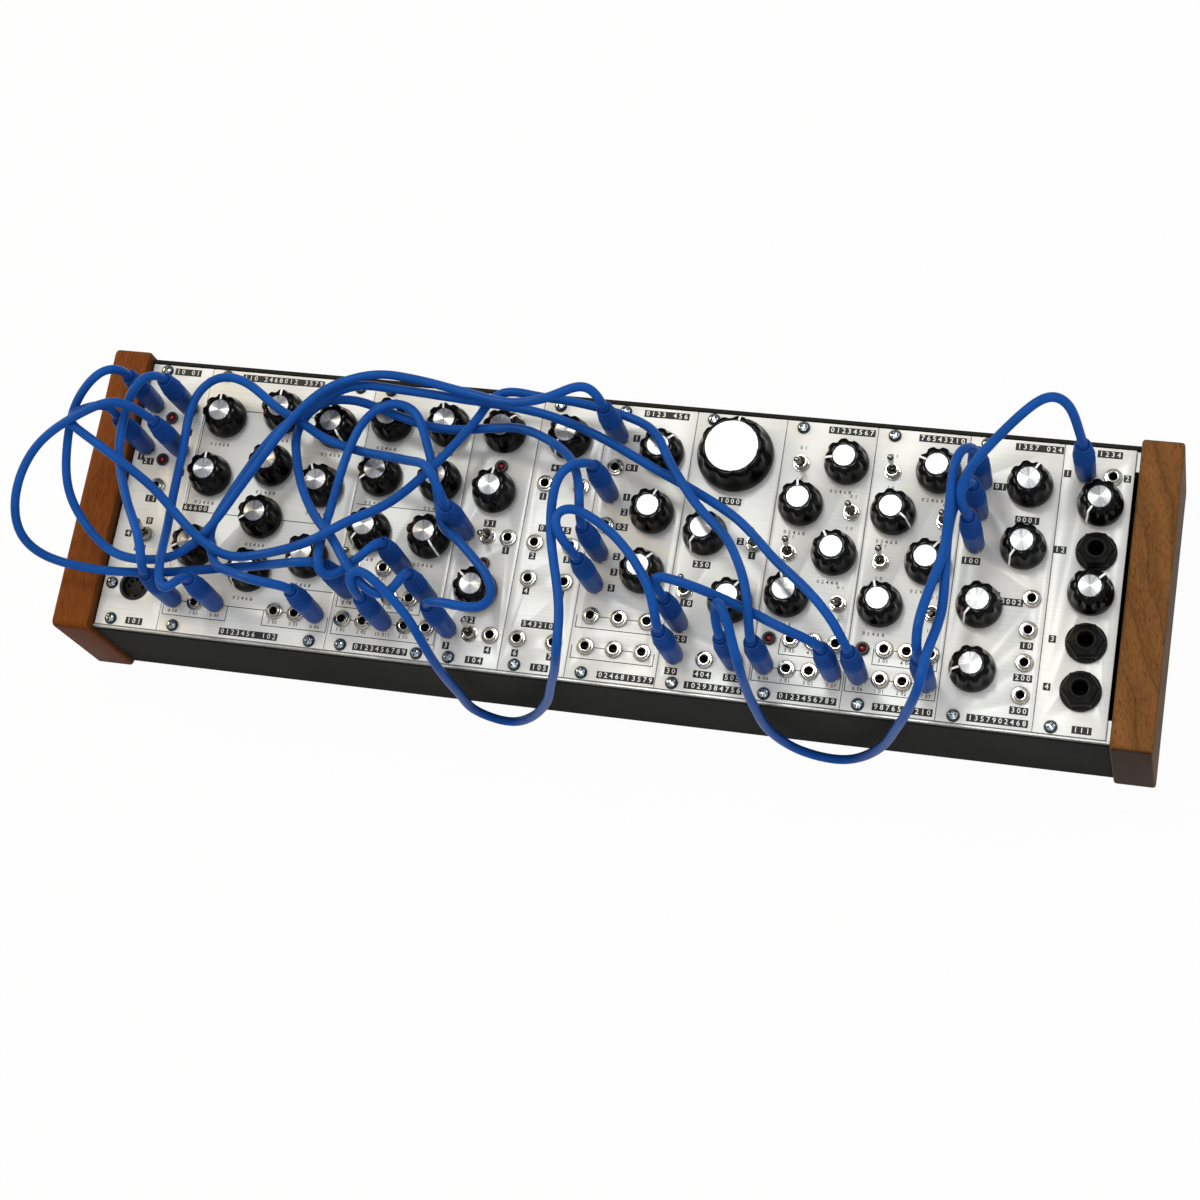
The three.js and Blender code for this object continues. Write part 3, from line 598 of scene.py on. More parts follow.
def brushed_aluminium(name, colour):
    """Aluminium sheet brushed along the row of panels: long fine streaks, soft broad reflections."""
    material, tree, shader, place = start_material(
        name, Metallic=0.24, Anisotropic=0.75, Anisotropic_Rotation=0.25
    )
    along = add_node(tree, "ShaderNodeTangent", direction_type="UV_MAP", uv_map="centred")
    join(tree, along, shader.inputs["Tangent"])
    # Streaks are 0.5 mm apart, coarser than real brushing so that they show, and 40 mm long
    streaks = add_node(tree, "ShaderNodeMapping", {"Vector": place, "Scale": (0.012, 1.0, 1.0)})
    brushing = {"Vector": streaks, "Scale": 2000.0, "Detail": 3.0, "Roughness": 0.6}
    grain = add_node(tree, NOISE, brushing)
    cloud = add_node(tree, NOISE, {"Vector": place, "Scale": 14.0, "Detail": 2.0})
    blend = add_node(tree, MATHS, {0: grain, 1: cloud}, operation="ADD")
    tone = add_node(tree, RAMP, {"Fac": blend}, tones(colour, (0.8, 0.94), (1.0, 1.0), (1.2, 1.04)))
    close_material(tree, shader, tone, grain, (0.34, 0.48), grain, strength=0.25, depth=0.00002)
    return material


def oiled_wood(name, colour, slope, ring_gap, figure):
    """Oiled walnut board: growth rings crossing it at the slope, fine pores between them, satin sheen."""
    material, tree, shader, place = start_material(
        name, IOR=1.5, Specular_IOR_Level=0.12, Specular_Tint=(1.0, 0.7, 0.5, 1.0)
    )
    tilt = (radians(6), radians(20), radians(slope))
    turn = add_node(tree, "ShaderNodeMapping", {"Vector": place, "Rotation": tilt})
    warp = add_node(tree, NOISE, {"Vector": turn, "Scale": 9.0, "Detail": 2.0}).outputs["Color"]
    drift = add_node(tree, "ShaderNodeVectorMath", {0: warp, "Scale": 0.055}, operation="SCALE")
    shifted = add_node(tree, "ShaderNodeVectorMath", {0: turn, 1: drift}, operation="ADD")
    # A wave repeats every 0.314 over its scale, so this is the gap between growth rings in metres
    waves = {"Vector": shifted, "Scale": 0.314 / ring_gap, "Distortion": 1.6, "Detail": 3.0}
    waves["Detail Scale"] = 1.2
    rings = add_node(tree, "ShaderNodeTexWave", waves, bands_direction="X", wave_profile="SAW")
    fibres = add_node(tree, "ShaderNodeMapping", {"Vector": turn, "Scale": (1.0, 0.05, 1.0)})
    # Pores are 0.5 mm wide, a little coarser than real ones, and 10 mm long
    pores = add_node(tree, NOISE, {"Vector": fibres, "Scale": 1900.0, "Detail": 4.0})
    broad = add_node(tree, NOISE, {"Vector": fibres, "Scale": 160.0, "Detail": 2.0})
    edges = add_node(tree, "ShaderNodeTexCoord").outputs["Normal"]
    facing = add_node(tree, "ShaderNodeSeparateXYZ", {0: edges}).outputs
    across, outward = [
        add_node(tree, MATHS, {0: facing[axis], 1: facing[axis]}, operation="MULTIPLY")
        for axis in ("Y", "X")
    ]
    band = tones(
        colour,
        (0.0, 1 - 0.1 * figure),
        (0.55, 1 + 0.06 * figure),
        (0.86, 1.0),
        (0.96, 1 - 0.34 * figure),
        (1.0, 1 - 0.1 * figure),
    )
    # The ends' darkening is partly oil in the end grain and partly painted shade; it grows with the figure,
    # so the right cheek's shaded front is darkest
    oiled_end_and_shade = 0.87 - 0.68 * figure
    layers = (
        (rings.outputs["Fac"], band),
        (broad, [(0.3, grey(1 - 0.2 * figure)), (0.7, grey(1 + 0.12 * figure))]),
        (pores, [(0.36, (0.68, 0.64, 0.6, 1.0)), (0.52, grey(1.06))]),
        # The ends of the board are darker: they soak up more oil than its sides, and painted shade, strongest
        # on the right cheek, darkens them further
        (across, [(0.4, grey(1.0)), (0.9, (oiled_end_and_shade, 0.76 * oiled_end_and_shade, 0.66 * oiled_end_and_shade, 1.0))]),
        # The broad outer face, which hands wear, is greyer
        (outward, [(0.4, grey(1.0)), (0.9, (0.66, 0.76, 0.86, 1.0))]),
    )
    ramps = [add_node(tree, RAMP, {"Fac": factor}, stops) for factor, stops in layers]
    tone = layered(tree, *ramps)
    close_material(tree, shader, tone, pores, (0.48, 0.62), pores, strength=0.3, depth=0.00008)
    return material


def powder_coat(name, colour):
    """Powder-coated steel: an even dark satin skin with a fine orange peel."""
    material, tree, shader, place = start_material(name, IOR=1.5, Specular_IOR_Level=0.04)
    # Peel is 1.2 mm across
    peel = add_node(tree, NOISE, {"Vector": place, "Scale": 830.0, "Detail": 2.0})
    cloud = add_node(tree, NOISE, {"Vector": place, "Scale": 25.0, "Detail": 3.0})
    tone = add_node(tree, RAMP, {"Fac": cloud}, tones(colour, (0.35, 0.85), (0.65, 1.15)))
    close_material(tree, shader, tone, peel, (0.6, 0.75), peel, strength=0.35, depth=0.00006)
    return material


def moulded_plastic(name, colour, rough, grain, depth, coat=0.0, level=0.5):
    """Moulded plastic: its gloss comes from the mould, with faint flow marks and handling haze. The mould's
    grain and its depth are in metres."""
    material, tree, shader, place = start_material(
        name, IOR=1.52, Specular_IOR_Level=level, Coat_Weight=coat, Coat_Roughness=0.05
    )
    haze = add_node(tree, NOISE, {"Vector": place, "Scale": 120.0, "Detail": 3.0})
    texture = add_node(tree, NOISE, {"Vector": place, "Scale": 1 / grain, "Detail": 2.0})
    tone = add_node(tree, RAMP, {"Fac": haze}, tones(colour, (0.35, 0.9), (0.7, 1.12)))
    close_material(tree, shader, tone, haze, rough, texture, strength=0.3, depth=depth)
    return material


def flexible_vinyl(name, colour, rough):
    """Soft PVC of cords and plugs: a saturated colour and a satin skin with a tinted shine."""
    material, tree, shader, place = start_material(
        name, IOR=1.5, Specular_IOR_Level=0.18, Specular_Tint=(0.25, 0.5, 1.0, 1.0)
    )
    # Skin grain is 0.8 mm across
    skin = add_node(tree, NOISE, {"Vector": place, "Scale": 1250.0, "Detail": 2.0})
    cloud = add_node(tree, NOISE, {"Vector": place, "Scale": 60.0, "Detail": 3.0})
    tone = add_node(tree, RAMP, {"Fac": cloud}, tones(colour, (0.3, 0.86), (0.7, 1.15)))
    close_material(tree, shader, tone, cloud, rough, skin, strength=0.2, depth=0.00004)
    return material


def spun_aluminium(name, colour):
    """Spun aluminium cap: rings 0.25 mm apart round its own centre, which spread the light into streaks; its
    colour holds painted highlights, light and dark wedges round the centre.
    """
    material, tree, shader, _ = start_material(
        name, Metallic=0.95, Anisotropic=0.95, Anisotropic_Rotation=0.25
    )
    around = add_node(tree, "ShaderNodeTangent", direction_type="RADIAL", axis="Z")
    join(tree, around, shader.inputs["Tangent"])
    own = add_node(tree, "ShaderNodeUVMap", uv_map="centred")
    away = add_node(tree, "ShaderNodeVectorMath", {0: own}, operation="LENGTH").outputs["Value"]
    spinning = {"W": away, "Scale": 4000.0, "Detail": 2.0}
    rings = add_node(tree, NOISE, spinning, noise_dimensions="1D")
    # Painted highlight: light and dark wedges round the cap's centre, in its colour, stand for the streaked
    # reflections of the lamps
    parts = add_node(tree, "ShaderNodeSeparateXYZ", {0: own}).outputs
    turn = add_node(tree, MATHS, {0: parts["Y"], 1: parts["X"]}, operation="ARCTAN2")
    painted_fan_pattern = {"W": turn, "Scale": 3.2, "Detail": 4.0}
    painted_fan_highlight = add_node(tree, NOISE, painted_fan_pattern, noise_dimensions="1D")
    stops = tones(colour, (0.34, 0.45), (0.46, 0.66), (0.55, 0.82), (0.68, 0.92))
    tone = add_node(tree, RAMP, {"Fac": painted_fan_highlight}, stops)
    close_material(tree, shader, tone, rings, (0.28, 0.36), rings, strength=0.1, depth=0.000004)
    return material


def bright_metal(name, colour, rough, flank_shade=1.0):
    """Plated metal: bright reflections broken by fine handling marks; steep flanks can get painted shade, a
    darker colour that stands in for the dark room that they mirror.
    """
    material, tree, shader, place = start_material(name, Metallic=1.0)
    marks = add_node(tree, NOISE, {"Vector": place, "Scale": 900.0, "Detail": 3.0})
    tone = add_node(tree, RAMP, {"Fac": marks}, tones(colour, (0.35, 0.8), (0.65, 1.0)))
    # Painted reflection: the colour darkens on steep flanks in place of the dark surroundings that they
    # mirror
    if flank_shade < 1.0:
        facing = add_node(tree, "ShaderNodeTexCoord").outputs["Normal"]
        upward = add_node(tree, "ShaderNodeSeparateXYZ", {0: facing}).outputs["Z"]
        painted_flank_shade = add_node(tree, RAMP, {"Fac": upward}, [(0.6, grey(flank_shade)), (0.85, grey(1.0))])
        tone = layered(tree, tone, painted_flank_shade)
    close_material(tree, shader, tone, marks, rough, marks, strength=0.15, depth=0.00002)
    return material


def ink(name, colour):
    """Screen-printed ink: matt, with a slightly uneven film."""
    material, tree, shader, place = start_material(name)
    film = add_node(tree, NOISE, {"Vector": place, "Scale": 700.0, "Detail": 2.0})
    tone = add_node(tree, RAMP, {"Fac": film}, tones(colour, (0.3, 0.85), (0.7, 1.3)))
    close_material(tree, shader, tone, film, (0.5, 0.7), film, strength=0.2, depth=0.00001)
    return material


def straight_rays(tree, seen):
    """One for rays from the camera or through glass, nought for all others."""
    rays = {0: seen.outputs["Is Camera Ray"], 1: seen.outputs["Is Transmission Ray"]}
    return add_node(tree, MATHS, rays, operation="MAXIMUM")


def backdrop_paper(name, colour):
    """White paper sweep: it reads white to the camera and in reflections, and keeps the object's shadow."""
    material, tree, shader, place = start_material(name, Roughness=0.9)
    fibre = add_node(tree, NOISE, {"Vector": place, "Scale": 400.0, "Detail": 2.0})
    tone = add_node(tree, RAMP, {"Fac": fibre}, tones(colour, (0.3, 0.98), (0.7, 1.0)))
    join(tree, tone, shader.inputs["Base Color"])
    seen = add_node(tree, "ShaderNodeLightPath")
    glow = add_node(tree, "ShaderNodeEmission", {"Color": grey(1.0), "Strength": 1.0})
    # Most of the paper's white is its own, the rest takes the shadow; mirrored it is dimmer
    dimmed = {0: seen.outputs["Is Glossy Ray"], 1: 0.26}
    mirrored = add_node(tree, MATHS, dimmed, operation="MULTIPLY")
    shares = {0: straight_rays(tree, seen), 1: 0.97, 2: mirrored}
    share = add_node(tree, MATHS, shares, operation="MULTIPLY_ADD")
    mix = add_node(tree, "ShaderNodeMixShader", {0: share, 1: shader, 2: glow})
    end = next(n for n in tree.nodes if n.type == "OUTPUT_MATERIAL")
    join(tree, mix, end.inputs["Surface"])
    return material


MATERIALS = {}


def make_materials():
    """Makes every finish once the colours are known."""
    c = colours()
    MATERIALS.update(
        panel=brushed_aluminium("anodised_aluminium_panel", c.panel),
        rail=bright_metal("extruded_aluminium_rail", linear("#C9C9C6"), (0.3, 0.45)),
        ink=ink("screen_printed_ink", c.print_ink),
        knockout=brushed_aluminium("aluminium_seen_through_print", c.panel),
        knob=moulded_plastic(
            "phenolic_knob_polished", c.knob, (0.06, 0.14), grain=0.0011, depth=0.000005, level=0.1
        ),
        cap=spun_aluminium("spun_aluminium_cap", c.cap),
        pointer=ink("pointer_paint_white", linear("#F2F2EE")),
        nickel=bright_metal("nickel_plated_brass", linear("#C4C0B6"), (0.08, 0.18)),
        # The screws get painted dark reflections on their steep flanks
        zinc=bright_metal("zinc_plated_screw", linear("#C3D0D6"), (0.12, 0.25), flank_shade=0.12),
        well=moulded_plastic("jack_body_black", linear("#060606"), (0.6, 0.8), grain=0.0008, depth=0.00002),
        outlet=moulded_plastic(
            "outlet_abs_black", linear("#0D0E0D"), (0.4, 0.55), grain=0.0007, depth=0.00003, level=0.22
        ),
        lamp=moulded_plastic(
            "lamp_lens_red", linear("#7A0A10"), (0.1, 0.2), grain=0.001, depth=0.00001, coat=0.6
        ),
        bezel=moulded_plastic(
            "lamp_bezel_black", linear("#101010"), (0.3, 0.42), grain=0.0008, depth=0.00001
        ),
        cord=flexible_vinyl("pvc_cord_sheath", c.cord, (0.24, 0.34)),
        plug=flexible_vinyl("pvc_plug_sleeve", c.plug, (0.34, 0.48)),
        case=powder_coat("powder_coated_steel", c.case),
        cheek_left=oiled_wood("oiled_walnut_left", c.cheek_left, slope=4, ring_gap=0.006, figure=0.4),
        cheek_right=oiled_wood(
            "oiled_walnut_right", c.cheek_right, slope=-17, ring_gap=0.0105, figure=1.0
        ),
    )


# Shapes. A shell is a list of points in millimetres and a list of faces.


def world(point):
    """Metres in the object's frame from millimetres on the panels."""
    return (Vector(point) + CORNER) / MILLIMETRES


def node_box(node):
    """Lowest and highest corner of a CAD node, in millimetres on the panels."""
    return [Vector(corner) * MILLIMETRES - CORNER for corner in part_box(node)]


def clamped(value):
    """The value, kept between nought and one."""
    return min(1.0, max(0.0, value))


def moved(shell, offset, turn=0.0):
    """A copy of a shell turned clockwise about the vertical, in degrees, and then moved."""
    spin = Matrix.Rotation(-radians(turn), 3, "Z")
    return [spin @ Vector(p) + Vector(offset) for p in shell[0]], shell[1]


def repeated(shell, spots, turn=0.0):
    """Copies of a shell at every place, all turned alike."""
    return [moved(shell, spot, turn) for spot in spots]


def merged(shells):
    """One shell of several."""
    points, faces = [], []
    for more_points, more_faces in shells:
        first = len(points)
        points.extend(more_points)
        faces.extend([[first + i for i in face] for face in more_faces])
    return points, faces


def turned(profile, sides, closed=False, radius_at=None):
    """A profile of radius and height turned about the vertical. A closed profile makes a ring."""
    points, faces, rings = [], [], []
    for radius, height in profile:
        if radius == 0:
            rings.append([len(points)])
            points.append(Vector((0, 0, height)))
            continue
        rings.append(range(len(points), len(points) + sides))
        for i in range(sides):
            angle = 2 * pi * i / sides
            r = radius_at(radius, height, angle) if radius_at else radius
            points.append(Vector((r * sin(angle), r * cos(angle), height)))
    for low, high in zip(rings, [*rings[1:], rings[0]] if closed else rings[1:]):
        for i in range(sides):
            j = (i + 1) % sides
            corners = [low[j % len(low)], low[i % len(low)], high[i % len(high)], high[j % len(high)]]
            face = list(dict.fromkeys(corners))
            if len(face) > 2:
                faces.append(face)
    return points, faces


def new_object(name, data):
    """An object in the scene that holds the data."""
    made = bpy.data.objects.new(name, data)
    bpy.context.scene.collection.objects.link(made)
    return made


def new_mesh(name, points, faces=()):
    """A mesh of points in metres and faces."""
    mesh = bpy.data.meshes.new(name)
    mesh.from_pydata(points, [], faces)
    return mesh


def clean(mesh, weld, sliver=0.0):
    """Merges a mesh's doubles, dissolves its slivers and turns its faces outwards."""
    work = bmesh.new()
    work.from_mesh(mesh)
    bmesh.ops.remove_doubles(work, verts=work.verts, dist=weld)
    if sliver:
        bmesh.ops.dissolve_degenerate(work, edges=work.edges, dist=sliver)
    bmesh.ops.recalc_face_normals(work, faces=work.faces)
    work.to_mesh(mesh)
    work.free()


def evaluated(source):
    """The mesh that an object evaluates to."""
    return bpy.data.meshes.new_from_object(source.evaluated_get(bpy.context.evaluated_depsgraph_get()))


def block(left, front, low, right, rear, high):
    """A plain bar between two corners."""
    points = [Vector((x, y, z)) for x in (left, right) for y in (front, rear) for z in (low, high)]
    faces = [[0, 1, 3, 2], [4, 6, 7, 5], [0, 4, 5, 1], [2, 3, 7, 6], [0, 2, 6, 4], [1, 5, 7, 3]]
    return points, faces


def bar(outline, left, right):
    """An outline of places across the rail and heights, drawn out along the row of panels."""
    points = [Vector((x, y, z)) for x in (left, right) for y, z in outline]
    n = len(outline)
    faces = [list(range(n))[::-1], list(range(n, 2 * n))]
    faces += [[i, (i + 1) % n, n + (i + 1) % n, n + i] for i in range(n)]
    return points, faces


def round_slab(depth, height, corner, thickness, edge, steps=4):
    """A board with rounded corners and rounded edges, its thickness along the row of panels."""
    points, faces, layers = [], [], []
    for side in (0, 1):
        for k in range(steps + 1):
            angle = pi / 2 * (k if side == 0 else steps - k) / steps
            inset = edge * (1 - sin(angle))
            along = edge * (1 - cos(angle))
            layers.append((inset, along if side == 0 else thickness - along))
    count = 4 * (steps + 1)
    for inset, along in layers:
        radius = corner - inset
        for quarter, (cy, cz) in enumerate(((1, 1), (0, 1), (0, 0), (1, 0))):
            middle_y = (depth - inset - radius) if cy else (inset + radius)
            middle_z = (height - inset - radius) if cz else (inset + radius)
            for k in range(steps + 1):
                angle = pi / 2 * (quarter + k / steps)
                points.append(Vector((along, middle_y + radius * cos(angle), middle_z + radius * sin(angle))))
    for layer in range(len(layers) - 1):
        for i in range(count):
            j = (i + 1) % count
            a, b = layer * count, (layer + 1) * count
            faces.append([a + i, a + j, b + j, b + i])
    faces.append(list(range(count))[::-1])
    faces.append([(len(layers) - 1) * count + i for i in range(count)])
    return points, faces


def circle(x, y, radius, sides=24):
    """Points round a hole or a disc."""
    angles = [2 * pi * i / sides for i in range(sides)]
    return [(x + radius * cos(angle), y + radius * sin(angle)) for angle in angles]


def hexagonal(radius, height, angle):
    """The radius of a hexagonal nut at an angle, whose crown is round inside the start of its flats."""
    from_middle = abs((angle + pi / 6) % (pi / 3) - pi / 6)
    flat = cos(pi / 6) / cos(from_middle)
    return radius * flat ** clamped((radius - HEXAGON_START) / HEXAGON_SPAN)


def sheet_shell(outline, holes, low, high, edge):
    """A flat sheet with holes and softened edges, from its outlines in millimetres."""
    drawing = bpy.data.curves.new("drawing", "CURVE")
    drawing.dimensions = "2D"
    drawing.fill_mode = "BOTH"
    drawing.extrude = (high - low) / 2 - edge
    drawing.bevel_depth = edge
    drawing.bevel_resolution = 1
    drawing.offset = -edge
    for path in (outline, *holes):
        spline = drawing.splines.new("POLY")
        spline.points.add(len(path) - 1)
        for point, (x, y) in zip(spline.points, path):
            point.co = (x, y, 0, 1)
        spline.use_cyclic_u = True
    return curve_shell(drawing, (0, 0, (low + high) / 2))


def curve_shell(data, offset=(0, 0, 0)):
    """A shell of a drawing or lettering, which is then removed."""
    source = new_object(data.name, data)
    mesh = evaluated(source)
    clean(mesh, WELD, SLIVER)
    shell = ([v.co + Vector(offset) for v in mesh.vertices], [list(p.vertices) for p in mesh.polygons])
    bpy.data.objects.remove(source)
    bpy.data.meshes.remove(mesh)
    bpy.data.curves.remove(data)
    return shell


LETTERING = {}


def number_shell(text, height, bold, spacing=1.0):
    """Raised figures centred on their own middle. Those made once are kept."""
    key = (text, height, bold, spacing)
    if key not in LETTERING:
        words = bpy.data.curves.new("figures", "FONT")
        words.body = text
        words.size = height * SIZE_OVER_HEIGHT
        words.space_character = spacing
        words.align_x = "CENTER"
        words.align_y = "CENTER"
        words.resolution_u = 2
        words.extrude = FIGURE_THICKNESS / 2
        words.offset = bold
        LETTERING[key] = curve_shell(words)
    return LETTERING[key]


def soften(mesh, limit=32):
    """Smooth faces, with sharp edges where the shape turns by more than the limit, in degrees."""
    work = bmesh.new()
    work.from_mesh(mesh)
    for face in work.faces:
        face.smooth = True
    for edge in work.edges:
        edge.smooth = len(edge.link_faces) == 2 and edge.calc_face_angle(0) < radians(limit)
    work.to_mesh(mesh)
    work.free()


def solid_object(name, shell):
    """An object of a shell about its own origin, for use as a template or a cutter."""
    mesh = new_mesh(name, [p / MILLIMETRES for p in shell[0]], shell[1])
    clean(mesh, WELD / MILLIMETRES)
    return new_object(name, mesh)


def add_piece(name, shells, finish, replaces=(), body="unit"):
    """A mesh piece of one or more shells, riding on a body."""
    points, faces = merged(shells)
    mesh = new_mesh(name, [world(p) for p in points], faces)
    mesh.validate()
    soften(mesh)
    return dress(new_object(name, mesh), finish, replaces, body)


def dress(piece, finish, replaces=(), body="unit"):
    """Gives a piece its finish, its body and the CAD nodes that it stands for."""
    piece.data.materials.clear()
    piece.data.materials.append(MATERIALS[finish])
    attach(piece, body)
    if replaces:
        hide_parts(*replaces)
    return piece


def centre_map(piece, centre):
    """A UV map in metres from the piece's own centre, for marks that run round it."""
    layer = piece.data.uv_layers.new(name="centred")
    for loop in piece.data.loops:
        spot = piece.data.vertices[loop.vertex_index].co - centre
        layer.data[loop.index].uv = (spot.x, spot.y)


# Repeats, each a small tree of geometry nodes


def start_tree(name, lengths, counts=(), parts=()):
    """A tree with a geometry input and output, the named inputs and the finish."""
    tree = bpy.data.node_groups.new(name, "GeometryNodeTree")
    tree.interface.new_socket("Geometry", in_out="INPUT", socket_type="NodeSocketGeometry")
    kinds = {"Float": lengths, "Int": counts, "Object": parts, "Material": ("Finish",)}
    for kind, labels in kinds.items():
        for label in labels:
            tree.interface.new_socket(label, in_out="INPUT", socket_type=f"NodeSocket{kind}")
    tree.interface.new_socket("Geometry", in_out="OUTPUT", socket_type="NodeSocketGeometry")
    return tree, add_node(tree, "NodeGroupInput")


def finish_tree(tree, instances, start):
    """Realize Instances and Set Material end every tree."""
    real = add_node(tree, "GeometryNodeRealizeInstances", {0: instances})
    finish = {"Geometry": real, "Material": start.outputs["Finish"]}
    coated = add_node(tree, "GeometryNodeSetMaterial", finish)
    add_node(tree, "NodeGroupOutput", {0: coated})


def ring_tree():
    """Rings with a rounded section, lying at every point: nuts, collars and bezels."""
    lengths = ("Outer radius", "Bore radius", "Height", "Edge round")
    tree, start = start_tree("rings_at_points", lengths, ("Sides",))
    out = start.outputs
    total = add_node(tree, MATHS, {0: out["Outer radius"], 1: out["Bore radius"]}, operation="ADD")
    middle = add_node(tree, MATHS, {0: total, 1: 0.5}, operation="MULTIPLY")
    width = add_node(tree, MATHS, {0: out["Outer radius"], 1: out["Bore radius"]}, operation="SUBTRACT")
    path = add_node(tree, CIRCLE, {"Resolution": out["Sides"], "Radius": middle})
    upright = add_node(tree, "GeometryNodeSetCurveNormal", {"Curve": path}, mode="Z_UP")
    section = add_node(
        tree, "GeometryNodeCurvePrimitiveQuadrilateral", {"Width": width, "Height": out["Height"]}
    )
    rounding = {"Curve": section, "Count": 3, "Radius": out["Edge round"], "Limit Radius": True}
    softened = add_node(tree, "GeometryNodeFilletCurve", rounding, mode="POLY")
    ring = add_node(tree, "GeometryNodeCurveToMesh", {"Curve": upright, "Profile Curve": softened})
    half = add_node(tree, MATHS, {0: out["Height"], 1: 0.5}, operation="MULTIPLY")
    rise = add_node(tree, "ShaderNodeCombineXYZ", {"Z": half})
    lifted = add_node(tree, "GeometryNodeTransform", {"Geometry": ring, "Translation": rise})
    copies = add_node(tree, COPIES, {"Points": out["Geometry"], "Instance": lifted})
    finish_tree(tree, copies, start)
    return tree


def scatter_tree():
    """A made part at every point, each turned by chance from a fixed seed: screws."""
    tree, start = start_tree("parts_at_points", ("Largest turn",), ("Seed",), ("Part",))
    out = start.outputs
    part = add_node(tree, "GeometryNodeObjectInfo", {"Object": out["Part"]})
    chance = add_node(tree, "FunctionNodeRandomValue", {"Seed": out["Seed"]}, data_type="FLOAT")
    angle = add_node(tree, MATHS, {0: chance.outputs[1], 1: out["Largest turn"]}, operation="MULTIPLY")
    turn = add_node(tree, "ShaderNodeCombineXYZ", {"Z": angle})
    spread = {"Points": out["Geometry"], "Instance": part.outputs["Geometry"], "Rotation": turn}
    copies = add_node(tree, COPIES, spread)
    finish_tree(tree, copies, start)
    return tree


def rib_tree():
    """Round ribs, each smaller than the last, up the strain relief of the plug at every point."""
    lengths = ("First radius", "Last radius", "Spacing", "Thickness", "Start height")
    tree, start = start_tree("ribs_on_plugs", lengths, ("Count",))
    out = start.outputs
    step = add_node(tree, "ShaderNodeCombineXYZ", {"Z": out["Spacing"]})
    base = add_node(tree, "ShaderNodeCombineXYZ", {"Z": out["Start height"]})
    stations = {"Count": out["Count"], "Start Location": base, "Offset": step}
    row = add_node(tree, "GeometryNodeMeshLine", stations)
    path = add_node(tree, CIRCLE, {"Resolution": 20, "Radius": out["First radius"]})
    section = add_node(tree, CIRCLE, {"Resolution": 8, "Radius": out["Thickness"]})
    rib = add_node(tree, "GeometryNodeCurveToMesh", {"Curve": path, "Profile Curve": section})
    index = add_node(tree, "GeometryNodeInputIndex")
    last = add_node(tree, MATHS, {0: out["Count"], 1: 1.0}, operation="SUBTRACT")
    share = add_node(tree, MATHS, {0: index, 1: last}, operation="DIVIDE")
    ratio = add_node(tree, MATHS, {0: out["Last radius"], 1: out["First radius"]}, operation="DIVIDE")
    taper = add_node(tree, "ShaderNodeMapRange", {"Value": share, "To Min": 1.0, "To Max": ratio})
    size = add_node(tree, "ShaderNodeCombineXYZ", {"X": taper, "Y": taper, "Z": 1.0})
    stack = add_node(tree, COPIES, {"Points": row, "Instance": rib, "Scale": size})
    copies = add_node(tree, COPIES, {"Points": out["Geometry"], "Instance": stack})
    finish_tree(tree, copies, start)
    return tree


TREES = {}


def grow(name, tree, spots, finish, **inputs):
    """A plain mesh object grown by a tree on places in millimetres. Underscores in input names stand for
    spaces."""
    mesh = new_mesh(name, [world(p) for p in spots])
    seedling = new_object(name + "_points", mesh)
    modifier = seedling.modifiers.new("tree", "NODES")
    modifier.node_group = tree
    values = {key.replace("_", " "): value for key, value in inputs.items()}
    values["Finish"] = MATERIALS[finish]
    for socket in tree.interface.items_tree:
        if socket.item_type == "SOCKET" and socket.in_out == "INPUT" and socket.name in values:
            modifier[socket.identifier] = values[socket.name]
    result = evaluated(seedling)
    bpy.data.objects.remove(seedling)
    bpy.data.meshes.remove(mesh)
    clean(result, WELD / MILLIMETRES)
    soften(result)
    return new_object(name, result)


def mesh_shell(piece):
    """A grown object as a shell in panel millimetres, so that it can be merged with others."""
    points = [v.co * MILLIMETRES - CORNER for v in piece.data.vertices]
    faces = [list(p.vertices) for p in piece.data.polygons]
    bpy.data.objects.remove(piece)
    return points, faces


def add_rings(name, spots, ring, finish, sides=32):
    """Rings of one size, lying on the panels at every place."""
    outer, bore, height, edge = [size / MILLIMETRES for size in ring]
    shape = {"Outer_radius": outer, "Bore_radius": bore, "Height": height, "Edge_round": edge, "Sides": sides}
    return dress(grow(name, TREES["rings"], spots, finish, **shape), finish, FRONT)


# Places of the fittings


def panel_edges():
    """Left and right edges of every panel."""
    left = 0.0
    edges = []
    for panel in PANELS:
        right = left + panel["units"] * UNIT_WIDTH
        edges.append((left, right))
        left = right
    return edges


def fittings(kind):
    """Places of one kind of fitting on all panels, panel by panel."""
    return [
        [(left + x * (right - left), y * PANEL_HEIGHT) for x, y in panel.get(kind, ())]
        for panel, (left, right) in zip(PANELS, panel_edges())
    ]


def all_fittings(kind):
    """Places of one kind of fitting on the panels' face."""
    return [(x, y, 0.0) for spots in fittings(kind) for x, y in spots]


def joints_of(prefix):
    """Body, place on the panels and middle of the range, for every joint whose child has the prefix."""
    found = []
    for joint in frame["joints"]:
        if joint["child"].startswith(prefix):
            x, y, _ = Vector(joint["pos_m"]) * MILLIMETRES - CORNER
            found.append((joint["child"], x, y, sum(joint["range_deg"]) / 2))
    return found


def panel_of(x):
    """The number of the panel at a place across."""
    return next((i for i, (left, right) in enumerate(panel_edges()) if left <= x < right), 0)


